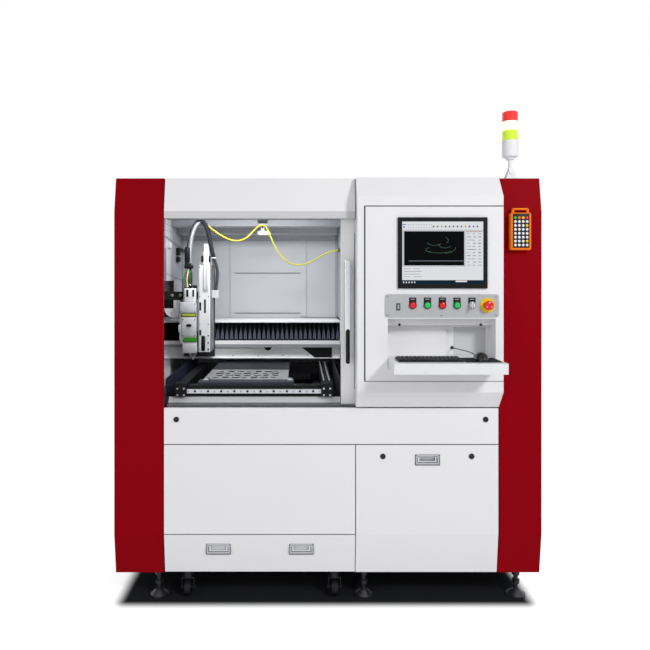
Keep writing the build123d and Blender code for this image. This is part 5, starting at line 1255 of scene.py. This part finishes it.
def keycap(x0, x1, d0, d1, z0, z1):
    """A keycap: a block drawn in at its top, with eased edges."""
    bm = rounded_block(x0, x1, d0, d1, z0, z1)
    top = [vertex for vertex in bm.verts if vertex.co.z > (z0 + z1) / 2 * MM]
    middle = sum((vertex.co for vertex in top), Vector()) / len(top)
    bmesh.ops.scale(bm, vec=TOP_SHARE, verts=top, space=Matrix.Translation(-middle))
    ease(bm, KEY_EDGE, 2)
    smooth_all(bm)
    return bm


key_left, key_right, key_front, key_back = KEYBOARD
case = plate(
    [(key_front, TRAY_TOP), (key_back, TRAY_TOP), (key_back, TRAY_TOP + CASE_BACK),
     (key_front, TRAY_TOP + CASE_FRONT)],
    key_left, key_right, "yz",
)
ease(case, 2, 3)
keyboard_parts = [(case, black_plastic)]
pitch_x = (key_right - key_left - 2 * CASE_EDGE) / KEY_COLUMNS
pitch_d = (key_back - key_front - 2 * CASE_EDGE) / KEY_ROWS
for row in range(KEY_ROWS):
    d = key_front + CASE_EDGE + pitch_d * row
    z = TRAY_TOP + CASE_FRONT + (CASE_BACK - CASE_FRONT) * (d - key_front) / (key_back - key_front)
    column = 0
    while column < KEY_COLUMNS:
        wide = SPACE_WIDE if row == SPACE_ROW and column == SPACE_COLUMN else 1
        x = key_left + CASE_EDGE + pitch_x * column
        cap = keycap(
            x + KEY_GAP, x + pitch_x * wide - KEY_GAP, d + KEY_GAP, d + pitch_d - KEY_GAP,
            z - KEY_SINK, z + KEY_RISE,
        )
        keyboard_parts.append((cap, black_plastic))
        if wide == 1:
            fleck = [start + step for start, steps in zip((x, d, z), FLECK) for step in steps]
            keyboard_parts += blocks(grey_plastic, fleck)
        column += wide
keyboard = assemble("keyboard_caps", "keyboard_tray", keyboard_parts)
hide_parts("keyboard")

# %% Mouse
MOUSE_AT = (632, -134, 1102)
MOUSE_HALF = (30, 51, 32)
MOUSE_MERGE = 1e-5
WAIST_DEPTH, WAIST_AT, WAIST_LENGTH = 0.12, 0.1, 0.4
CROWN_LEAN = 0.22
SIDE_POWER = 0.85
WHEEL_PROFILE = [(0, -3.2), (7.4, -3.2), (8.2, -2), (8.2, 2), (7.4, 3.2), (0, 3.2)]
WHEEL_BACK, WHEEL_UP = 27, 20


def mouse_shell():
    """A palm-shaped shell from a sphere: flat below, waisted, and highest behind the middle."""
    bm = bmesh.new()
    bmesh.ops.create_icosphere(bm, subdivisions=4, radius=1)
    for vertex in bm.verts:
        x, y, z = vertex.co
        waist = 1 - WAIST_DEPTH * math.exp(-((y - WAIST_AT) / WAIST_LENGTH) ** 2)
        broad = math.copysign(abs(x) ** SIDE_POWER, x)
        vertex.co = Vector((broad * waist, y, max(z, 0) * (1 - CROWN_LEAN * y)))
    bmesh.ops.scale(bm, vec=Vector(MOUSE_HALF) * MM, verts=bm.verts)
    bmesh.ops.translate(bm, vec=place(*MOUSE_AT), verts=bm.verts)
    bmesh.ops.remove_doubles(bm, verts=bm.verts, dist=MOUSE_MERGE)
    bmesh.ops.recalc_face_normals(bm, faces=bm.faces)
    smooth_all(bm)
    return bm


mouse_x, mouse_d, mouse_z = MOUSE_AT
wheel_at = (mouse_x, mouse_d + WHEEL_BACK, mouse_z + WHEEL_UP)
mouse_parts = [(mouse_shell(), black_gloss)]
mouse_parts += turnings(grey_plastic, WHEEL_PROFILE, wheel_at, axis="right", steps=24)
mouse = assemble("mouse_shell", "keyboard_tray", mouse_parts, sharp=60)
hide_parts("mouse")

# %% [markdown]
# ## Signal tower and pendant
# A signal tower's lenses are moulded with fine upright prisms that catch light as rings.
# Here each lens is a turned barrel with small ridges, and the middle one is lit. The pendant
# is a rubber-edged keypad with a hanging loop, and its keys are small turned caps.

# %% Signal lenses
TOWER = (826, 70)
TOWER_LEVELS = (2061, 2106, 2147, 2192)
LENS_RADIUS = 35
BARREL_RADIUS = LENS_RADIUS - 2.5
RIDGES = 9
RIDGE_FOOT, RIDGE_ROOM = 2, 6
# A ridge's corners: how far inside the lens's radius, and where along the ridge.
RIDGE = ((1.3, 0.15), (0.3, 0.5), (1.3, 0.85))


def lens_material(name, colour, glow):
    """Tinted clear plastic with some light of its own: the lamp's glow where it is on, painted light where it is
    off.
    """
    return plastic(
        name, colour, bump=0.03, rough=0.15, Emission_Color=srgb(*colour), Emission_Strength=glow,
        Coat_Weight=0.6,
    )


# The lit amber lens glows from its lamp; the weak glow of the other two is painted light.
lens_colours = [
    lens_material("green-yellow lens with painted glow", (196, 226, 44), 0.25),
    lens_material("lit amber lens", (255, 246, 196), 0.9),
    lens_material("red lens with painted glow", (232, 30, 26), 0.2),
]
lens_parts = []
for index, colour in enumerate(lens_colours):
    low, high = TOWER_LEVELS[index], TOWER_LEVELS[index + 1]
    tall = high - low
    step = (tall - RIDGE_ROOM) / RIDGES
    profile = [(0, 0), (BARREL_RADIUS, 0), (BARREL_RADIUS, RIDGE_FOOT)]
    for ridge in range(RIDGES):
        start = RIDGE_FOOT + (tall - RIDGE_ROOM) * ridge / RIDGES
        profile += [(LENS_RADIUS - inset, start + share * step) for inset, share in RIDGE]
    rim = [(BARREL_RADIUS, tall - 3), (BARREL_RADIUS, tall), (0, tall)]
    if index == len(lens_colours) - 1:
        rim = [(LENS_RADIUS - 1, tall - 4), (LENS_RADIUS - 5, tall - 0.6), (0, tall)]
    lens_parts += turnings(colour, profile + rim, (*TOWER, low), axis="up", steps=48)
lenses = assemble("signal_lens_stack", "signal_tower", lens_parts, sharp=60)
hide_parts("signal_lenses")

# %% Pendant
PENDANT = (793, 885, 1564, 1728)
PENDANT_OUT = -32
FACE_INSET, FACE_DEPTH = 10, (PENDANT_OUT - 0.4, PENDANT_OUT + 4)
LOOP_TOP = 1748
LOOP_INSET, LOOP_WIDE = 9, 10
LOOP_DEPTH = (-25, -9)
FIRST_KEY = 22
PENDANT_ROWS, PENDANT_COLUMNS, PENDANT_PITCH = 8, 4, 17
PENDANT_KEY = [(0, 0), (6.2, 0), (6.0, 1.6), (4.6, 2.5), (0, 2.9)]
KEY_COLOURS = {
    (3, 7): lens_red, (0, 7): lens_green, (1, 7): pendant_orange, (2, 7): signal_yellow,
    (3, 5): signal_yellow, (3, 1): signal_yellow,
}
left, right, low, high = PENDANT
pendant_parts = blocks(pendant_orange, (left, right, PENDANT_OUT + 1, 0, low, high), radius=8, segments=4)
pendant_parts += blocks(
    black_plastic, (left + FACE_INSET, right - FACE_INSET, *FACE_DEPTH, low + FACE_INSET, high - 5), radius=1
)
loop_left, loop_right = left + LOOP_INSET, right - LOOP_INSET
pendant_parts += blocks(
    pendant_orange,
    (loop_left, loop_left + LOOP_WIDE, *LOOP_DEPTH, high - 6, LOOP_TOP),
    (loop_right - LOOP_WIDE, loop_right, *LOOP_DEPTH, high - 6, LOOP_TOP),
    (loop_left, loop_right, *LOOP_DEPTH, LOOP_TOP - 9, LOOP_TOP),
    radius=3,
)
for column in range(PENDANT_COLUMNS):
    for row in range(PENDANT_ROWS):
        x = (left + right) / 2 + PENDANT_PITCH * (column - (PENDANT_COLUMNS - 1) / 2)
        z = low + FIRST_KEY + PENDANT_PITCH * row
        finish = KEY_COLOURS.get((column, row), white_plastic)
        pendant_parts += turnings(finish, PENDANT_KEY, (x, PENDANT_OUT + 1, z), steps=14)
pendant = assemble("pendant_body", "machine", pendant_parts)
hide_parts("pendant")

# %% [markdown]
# ## The sliding door's pull
# A long aluminium strip with rounded ends, ribbed where the hand takes it and with a black
# grip below. It is a rounded bar with rounded ribs across it, standing on two turned feet.

# %% Door pull
HANDLE_X = 90.5
HANDLE_LOW, HANDLE_HIGH = 1061, 1523
HANDLE_FRONT, HANDLE_BACK = 26, 38
BAR_HALF, GRIP_HALF = 14, 9
GRIP_TOP, GRIP_LAP = 1205, 12
RIBS, RIB_PITCH, RIB_HALF, RIB_START = 9, 11, 14.4, 20
FOOT_DEPTH, FOOT_INSET = 62, 35
FOOT_PROFILE = [(0, 0), (8, 0), (7, 3), (7, 26), (0, 26)]
pull_parts = blocks(
    satin_alu,
    (HANDLE_X - BAR_HALF, HANDLE_X + BAR_HALF, HANDLE_FRONT, HANDLE_BACK, GRIP_TOP, HANDLE_HIGH),
    radius=5.8, segments=5,
)
pull_parts += blocks(
    black_plastic,
    (HANDLE_X - GRIP_HALF, HANDLE_X + GRIP_HALF, HANDLE_FRONT - 1, HANDLE_BACK, HANDLE_LOW,
     GRIP_TOP + GRIP_LAP),
    radius=5.5, segments=5,
)
for rib in range(RIBS):
    z = HANDLE_HIGH - RIB_START - RIB_PITCH * rib
    pull_parts += blocks(
        satin_alu,
        (HANDLE_X - RIB_HALF, HANDLE_X + RIB_HALF, HANDLE_FRONT - 1, HANDLE_BACK - 2, z - 2, z + 2),
        radius=1.6,
    )
feet = [(HANDLE_X, FOOT_DEPTH, z) for z in (HANDLE_LOW + FOOT_INSET, HANDLE_HIGH - FOOT_INSET)]
pull_parts += turnings(satin_alu, FOOT_PROFILE, *feet, steps=20)
door_pull = assemble("door_pull", "sliding_door", pull_parts)
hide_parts("door_handle")

# %% [markdown]
# ## Cutting head and carriage
# The head is a stack: nozzle, sensor, lens drawers, collimator and the hose on top. The
# castings come with the frame. What makes it read as a real head is what is bolted on:
# drawer plates with corner screws, coloured bands, a manifold with its tubes and plugs. The
# carriage gets the same treatment: slots, bars and screws on its drive housing, the cable
# tie round the hose, and a bracket cut from plate.


# %% Screw heads
def screws(places, radius, finish):
    """Socket screws seen from the front: a low cylinder with a dark hexagon in its middle, painted shade in the
    socket.
    """
    parts = []
    for x, d, z in places:
        parts += turnings(finish, disc(radius, 2.2, 0.5), (x, d, z), steps=14)
        parts += turnings(black_plastic, disc(radius * 0.45, 0.5, 0.1), (x, d - 2.0, z), steps=6)
    return parts


print("screws ready")

# %% Head plates
HEAD_FACE = 600
PLATE_FACE = HEAD_FACE - 5
SCREW_INSET = 8
OVAL_MIDDLE = (-721, PLATE_FACE, 1184)
OVAL_PROFILE = [(0, 0), (13, 0), (13, 2.5), (11, 4), (0, 4.4)]
OVAL_SHARE = (1.15, 1, 0.62)
head_parts = []
for left, right, low, high in ((-771, -682, 1252, 1309), (-762, -682, 1122, 1226)):
    head_parts += blocks(head_plate, (left, right, PLATE_FACE, HEAD_FACE + 1, low, high), radius=2)
    ends = (left + SCREW_INSET, right - 6), (low + SCREW_INSET, high - SCREW_INSET)
    head_parts += screws([(x, PLATE_FACE, z) for x in ends[0] for z in ends[1]], 3.6, zinc_plate)
for finish, left, right, out, low, high in (
    (olive_rim, -766, -683, 3, 1229, 1249),
    (marker_olive, -759, -690, 4, 1233, 1245),
    (marker_green, -752, -678, 4, 1094, 1118),
):
    head_parts += blocks(finish, (left, right, HEAD_FACE - out, HEAD_FACE + 1, low, high), radius=1)
teeth = [(x - 2, x + 2, PLATE_FACE, HEAD_FACE, 1112, 1116) for x in range(-746, -674, 8)]
head_parts += blocks(olive_rim, *teeth, radius=0.6)
oval = turned(OVAL_PROFILE, OVAL_MIDDLE, steps=28)
to_middle = Matrix.Translation(-place(*OVAL_MIDDLE))
bmesh.ops.scale(oval, vec=OVAL_SHARE, verts=oval.verts, space=to_middle)
head_parts.append((oval, black_gloss))
head_parts += blocks(head_plate, (-757, -679, HEAD_FACE - 2, HEAD_FACE + 5, 1033, 1092), radius=3)
head_parts += blocks(head_plate, (-779, -766, HEAD_FACE - 1, HEAD_FACE + 20, 1146, 1186), radius=2)
assemble("head_plates", "z_head", head_parts)

# %% Manifold and tubes
CONNECTOR = [(0, 0), (15, 0), (15, 12), (12, 16), (15, 20), (15, 92), (10, 100), (0, 100)]
TUBE_RADIUS = 3.2 * MM
TUBE_NUT = disc(4.6, 12, 1)
TUBES = {-752: wire_green, -744: copper_tube, -736: white_plastic, -726: copper_tube, -716: wire_green}
manifold = blocks(white_plastic, (-748, -686, 604, 640, 1310, 1384), radius=3)
manifold += blocks(
    black_plastic, (-738.5, -725.5, 602, 606, 1338, 1376), (-705, -695, 602, 606, 1338, 1376),
    (-723, -707, 606, 634, 1384, 1401), (-701, -685, 606, 634, 1384, 1401), radius=2,
)
manifold += blocks(black_plastic, (-752, -704, 614, 640, 1490, 1510), radius=5)
manifold += turnings(black_plastic, CONNECTOR, (-738, 636, 1508), axis="up", steps=20)
for tube_x, finish in TUBES.items():
    route = ((tube_x + 4, 618, 1384), (tube_x - 2, 612, 1420), (tube_x + 4, 618, 1462), (-729, 626, 1500))
    tube = swept(smooth_line([place(*point) for point in route], 6), TUBE_RADIUS, 10)
    manifold.append((tube, finish))
    manifold += turnings(black_plastic, TUBE_NUT, (tube_x + 4, 618, 1378), axis="up", steps=12)
assemble("head_manifold", "z_head", manifold)

# %% Drive housing trim
HOUSING_FACE = 600
# The first three dark blocks are the housing's slots: painted shade in the openings.
housing = blocks(
    black_plastic,
    *[(x - 5, x + 5, HOUSING_FACE - 1.4, HOUSING_FACE + 2, low, high)
      for x, low, high in ((-661, 1264, 1308), (-636, 1250, 1324), (-661, 1130, 1160))],
    radius=3,
)
housing += screws(
    [(x, HOUSING_FACE, z) for x in (-663, -616) for z in (1052, 1190, 1340, 1498)], 3.2, zinc_plate
)
bars = [(x - 5.5, x + 5.5, HOUSING_FACE - 7, HOUSING_FACE + 1, 1375, 1583) for x in (-637, -622)]
housing += blocks(white_plastic, *bars, radius=2)
housing += blocks(black_gloss, (-655, -634, HOUSING_FACE - 6, HOUSING_FACE + 2, 1046, 1128), radius=4)
dots = [(-618, HOUSING_FACE, z) for z in (1128, 1090, 1056)]
housing += turnings(black_plastic, disc(4, 3), *dots, steps=12)
housing += blocks(satin_alu, (-668, -611, HOUSING_FACE, HOUSING_FACE + 40, 1511, 1524), radius=2)
assemble("drive_housing_trim", "x_carriage", housing)

# %% Cable tie
TIE_PROFILE = [(12.1, -3), (14, -2.4), (14, 2.4), (12.1, 3), (12.1, -3)]
tied = hose_line[tie_index]
tie_at = (tied.x / MM, tied.y / MM + FRONT_PLANE, tied.z / MM)
tie = turnings(white_plastic, TIE_PROFILE, tie_at, axis="up", steps=24)
assemble("hose_tie", "x_carriage", tie)

# %% Carriage bracket
KNEE = [
    (-787, 1316), (-824, 1316), (-824, 1270), (-876, 1270), (-872, 1252), (-862, 1236), (-846, 1224),
    (-828, 1219), (-787, 1219),
]
KNEE_FACE = 688
bracket = screws([(-835, 701, 1343), (-789, 701, 1343)], 7.5, satin_alu)
bracket.append((plate(KNEE, KNEE_FACE, KNEE_FACE + 6), white_plastic))
bracket += screws([(-836, KNEE_FACE, 1246), (-797, KNEE_FACE, 1230)], 3.4, zinc_plate)
assemble("carriage_bracket_trim", "x_carriage", bracket)

# %% [markdown]
# ## Table fittings
# The table frame is bolted together at its end blocks, and its front rail is drilled in a
# row. A drilled hole this small is a thin dark disc on the rail, painted shade for the dark
# inside the hole, and the screws are the same socket heads as on the cutting head.

# %% Table fittings
RAIL_FACE = 97.8
HOLE_SPACING, HOLES, HOLES_MIDDLE = 60, 10, -332.5
END_BLOCK_FACE = 92.5
end_screws = [(x, END_BLOCK_FACE, z) for x in (-682, -652, -14, 15) for z in (908, 938)]
table_trim = screws(end_screws, 4.2, satin_alu)
table_trim += blocks(satin_alu, *[(x - 3, x + 3, 160, 795, 963, 967) for x in (-12, 14)], radius=1)
holes = [
    (HOLES_MIDDLE + HOLE_SPACING * (index - (HOLES - 1) / 2), RAIL_FACE, 925) for index in range(HOLES)
]
# The holes are thin black discs: painted shade.
table_trim += turnings(black_plastic, disc(5.2, 0.5, 0.1), *holes, steps=16)
assemble("table_trim", "table", table_trim)

# %% [markdown]
# ## Shadow gaps
# Where a door or flap meets its frame, a real machine shows a thin dark line where the gap lies
# in shade. Thin black strips set back in the gap draw it as painted shade.

# %% Shadow gap round the console door
DOOR_GAP_DEPTH = (-62.6, -56)
left, right, low, high = 156.3, 752, 997.7, 1752.3
# Black strips set back in the door's gap: painted shade.
door_gap_shade = blocks(
    black_plastic,
    (left - 3.5, left + 2, *DOOR_GAP_DEPTH, low, high + 2),
    (left, right, *DOOR_GAP_DEPTH, high - 2, high + 2),
    (left, right, *DOOR_GAP_DEPTH, low, low + 2),
)
assemble("console_door_gap_shade", "machine", door_gap_shade)
niche_screws = turnings(lock_steel, disc(6, 0.5, 0.2), *[(x, -17.3, 1238) for x in (312, 668)], steps=16)
assemble("niche_screws", "console_door", niche_screws)

# %% Shadow gaps between the lower panels
GAP_DEPTH = (0.8, 3)
GAP_HALF = 1


def sides(name):
    """A frame piece's left, right, low and high in millimetres."""
    low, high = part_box(name)
    return low[0] / MM, high[0] / MM, low[2] / MM, high[2] / MM


panel_left, panel_right, panel_low, panel_high = sides("lower_left_panel")
flap_left, flap_right, _, flap_high = sides("service_flap")
gap_z = (max(panel_high, flap_high) + sides("sill_flap")[2]) / 2
gap_x = (panel_right + flap_left) / 2
seam_spans = [
    (panel_left, flap_right, *GAP_DEPTH, gap_z - GAP_HALF, gap_z + GAP_HALF),
    (panel_left, panel_right, *GAP_DEPTH, panel_low - 2.2, panel_low - 0.2),
    (gap_x - GAP_HALF, gap_x + GAP_HALF, *GAP_DEPTH, panel_low - 2, gap_z),
]
assemble("panel_seams", "machine", blocks(black_plastic, *seam_spans))

# %% Pull outlines
# The pressed pulls read by their dark shadow lines: one at the foot, one up each side, and
# two corner rivets. Below the covers' bend the sheet leans in, and the lines lean with it.
BEND_HEIGHT, LEAN_IN, LEAN_HEIGHT = 314, 25, 179
LINE_OUT, LINE_THICK = 3.6, 3
OUTLINE = (
    (-54, 54, -24.5, -22.5), (-54, -52.2, -22.5, 12), (52.2, 54, -22.5, 12), (-54, -49, 15, 20),
    (49, 54, 15, 20),
)
for name, (pull_x, pull_z) in PULLS.items():
    front = max(0.0, (BEND_HEIGHT - pull_z) * LEAN_IN / LEAN_HEIGHT) - LINE_OUT
    lines = [
        (pull_x + x0, pull_x + x1, front, front + LINE_THICK, pull_z + z0, pull_z + z1)
        for x0, x1, z0, z1 in OUTLINE
    ]
    body = "scrap_drawer" if name.startswith("drawer") else "service_flap"
    assemble(name + "_outline", body, blocks(black_plastic, *lines))

# %% [markdown]
# ## Chamber fittings
# The inner walls are pressed sheet: seams, rows of holes and a hatch with hinges. Holes
# this small are best drawn as thin dark discs set against the wall, painted shade for the
# dark inside each hole, because cutting real holes would show nothing behind them. The beam's
# cover has two real openings, and they are drawn the same way, as painted shade: a disc cut
# off along the cover's edge and a plain outline.

# %% Wall holes, seams and hatch
LEFT_WALL, RIGHT_WALL, BACK_WALL = -838, 105, 1000
SEAM_LOW, SEAM_HIGH = 1196, 1666
FIRST_HOLE, HOLE_PITCH, HOLE_GRID = (300, 1660), (74, 34), (8, 3)
BACK_SEAM = (BACK_WALL - 1.4, BACK_WALL - 0.2)
LEFT_SEAM = (LEFT_WALL + 3.6, LEFT_WALL + 5)
SIDE_HOLE = [(0, 0.9), (4, 0.9), (4, 0.4), (0, 0.4)]
BACK_HOLE = [(0, 0.6), (6, 0.6), (6, 0), (0, 0)]
HATCH = [(756, 1342), (756, 1432), (985, 1421), (985, 1352)]
wall = []
# Each hole is a thin black disc: painted shade.
for column in range(HOLE_GRID[0]):
    for row in range(HOLE_GRID[1]):
        d, z = FIRST_HOLE[0] + HOLE_PITCH[0] * column, FIRST_HOLE[1] + HOLE_PITCH[1] * row
        pair = (LEFT_WALL + 0.1, d, z), (RIGHT_WALL - 1.4, d, z)
        wall += turnings(black_plastic, SIDE_HOLE, *pair, axis="right", steps=10)
back_holes = [(x, BACK_WALL - 0.4, 1688) for x in (-647, -317, 14)]
wall += turnings(black_plastic, BACK_HOLE, *back_holes, steps=12)
wall += blocks(
    seam_grey,
    *[(x - 1.2, x + 1.2, *BACK_SEAM, SEAM_LOW, SEAM_HIGH) for x in (-548, -115.5, -86)],
    *[(-516, -121, BACK_WALL - 5, BACK_WALL - 3.8, z - 2, z + 1) for z in (1468, 1226)],
    (-104, 104, *BACK_SEAM, SEAM_LOW, SEAM_LOW + 3),
)
for near_z, far_z in ((1660, 1612), (1464, 1425)):
    slope = [(543, near_z - 1.5), (543, near_z + 1.5), (985, far_z + 1.5), (985, far_z - 1.5)]
    wall.append((plate(slope, *LEFT_SEAM, "yz"), seam_grey))
wall += blocks(seam_grey, (*LEFT_SEAM, 984, 987, 1425, 1612))
hinges = ((800, 985, 1592, 1612), (800, 852, 1568, 1600), (800, 852, 1530, 1560))
wall += blocks(black_plastic, *[(LEFT_WALL + 4, LEFT_WALL + 22, *hinge) for hinge in hinges], radius=3)
wall += blocks(seam_grey, (LEFT_WALL + 10, 104, *BACK_SEAM, SEAM_HIGH, SEAM_HIGH + 3))
wall.append((plate(HATCH, LEFT_WALL + 1, LEFT_WALL + 3, "yz"), inner_sheet))
wall += screws([(x, 746.8, 1002) for x in range(-780, 100, 140)], 3.4, zinc_plate)

# %% Openings in the beam's cover
COVER_EDGE = 1052
HOLE_MIDDLE = (-304, 755.8, 1050)
OPENING = [(-117, 1049), (-40, 990), (58, 990), (58, 1049)]
OPENING_DEPTH = (753, 755.6)
# The dark disc and outline fill the cover's openings as painted shade.
cable_hole = turned(disc(21, 1.2), HOLE_MIDDLE, steps=28)
bmesh.ops.bisect_plane(
    cable_hole, geom=list(cable_hole.verts) + list(cable_hole.edges) + list(cable_hole.faces),
    plane_co=place(-304, 755, COVER_EDGE), plane_no=(0, 0, 1), clear_outer=True,
)
wall.append((cable_hole, black_plastic))
wall.append((plate(OPENING, *OPENING_DEPTH), black_plastic))
assemble("chamber_fittings", "machine", wall)

# %% [markdown]
# ## Studio
# A plain white sweep and soft lamps: one large key lamp from the upper right in front, as
# the shadows beside the console show, a weak fill from the left and a strip light over the
# chamber, so that its walls don't sink into the dark. The floor is lifted to white only where
# nothing stands over it; under the machine its colour is painted dark, a painted shadow laid
# over the real one.


# %% Lamps
def soft_lamp(name, where, aim, size, power):
    """A rectangular lamp in drawing millimetres, aimed at a point."""
    data = bpy.data.lights.new(name, "AREA")
    data.shape = "RECTANGLE"
    data.size, data.size_y = size[0] * MM, size[1] * MM
    data.energy = power
    lamp = bpy.data.objects.new(name, data)
    lamp.location = place(*where)
    lamp.rotation_euler = (place(*aim) - place(*where)).to_track_quat("-Z", "Y").to_euler()
    lamp.visible_camera = False
    bpy.context.scene.collection.objects.link(lamp)


soft_lamp("key", where=(2600, -3600, 3600), aim=(0, 0, 1100), size=(900, 900), power=110)
soft_lamp("fill", where=(-3200, -3400, 1800), aim=(0, 0, 1000), size=(2400, 2400), power=34)
soft_lamp("chamber_strip", where=(-360, 420, 1800), aim=(-360, 600, 900), size=(700, 120), power=7)
print("lamps ready")


# %% World
def seen_directly(tree):
    """One for rays that show the background itself: by eye, in shine or through glass."""
    path = add(tree, "ShaderNodeLightPath").outputs
    seen = arithmetic(tree, "MAXIMUM", path["Is Camera Ray"], path["Is Glossy Ray"])
    return arithmetic(tree, "MAXIMUM", seen, path["Is Transmission Ray"])


WORLD_LIGHT = 0.47
world = bpy.data.worlds.new("studio")
world.use_nodes = True
bpy.context.scene.world = world
sky = world.node_tree
background = sky.nodes["Background"].inputs
background["Color"].default_value = (1, 1, 1, 1)
sky.links.new(mix_values(sky, seen_directly(sky), WORLD_LIGHT, 1.0), background["Strength"])
print("world light", WORLD_LIGHT)

# %% Floor
# Under the machine the floor's colour turns to SHADOW_COLOUR with a soft edge: a painted shadow.
SHADOW_HALF = (885, 706)
SHADOW_MIDDLE = (-10, 745)
SHADOW_SOFT = 75
SHADOW_COLOUR, FLOOR_COLOUR = (40, 41, 43), (242, 242, 242)
FLOOR_LIFT = 0.62
FLOOR_SIZE = 30

floor_mesh = bpy.data.meshes.new("floor")
floor_shape = bmesh.new()
bmesh.ops.create_grid(floor_shape, x_segments=1, y_segments=1, size=FLOOR_SIZE)
floor_shape.to_mesh(floor_mesh)
floor_shape.free()
floor = put_down("floor", floor_mesh)

floor_finish = bpy.data.materials.new("studio floor")
floor_finish.use_nodes = True
tree = floor_finish.node_tree
shader = tree.nodes["Principled BSDF"].inputs
shader["Roughness"].default_value = 0.9
shader["Specular IOR Level"].default_value = 0.0
shader["Emission Color"].default_value = (1, 1, 1, 1)
from_middle = vectors(tree, "SUBTRACT", object_place(tree), place(*SHADOW_MIDDLE, 0))
from_middle = vectors(tree, "ABSOLUTE", from_middle)
outside = vectors(tree, "SUBTRACT", from_middle, Vector((*SHADOW_HALF, 0)) * MM)
outside = vectors(tree, "MAXIMUM", outside)
distance = add(tree, "ShaderNodeVectorMath", {0: outside}, operation="LENGTH").outputs["Value"]
open_floor = add(
    tree, "ShaderNodeMapRange", {"Value": distance, "From Min": 0.0, "From Max": SHADOW_SOFT * MM},
    interpolation_type="SMOOTHSTEP",
).outputs["Result"]
lift = arithmetic(tree, "MULTIPLY", open_floor, FLOOR_LIFT)
tree.links.new(arithmetic(tree, "MULTIPLY", seen_directly(tree), lift), shader["Emission Strength"])
floor_colour = mix_colours(tree, open_floor, srgb(*SHADOW_COLOUR), srgb(*FLOOR_COLOUR))
tree.links.new(floor_colour, shader["Base Color"])
floor_mesh.materials.append(floor_finish)
print("studio ready")

# %% View settings
bpy.context.scene.view_settings.view_transform = "Standard"
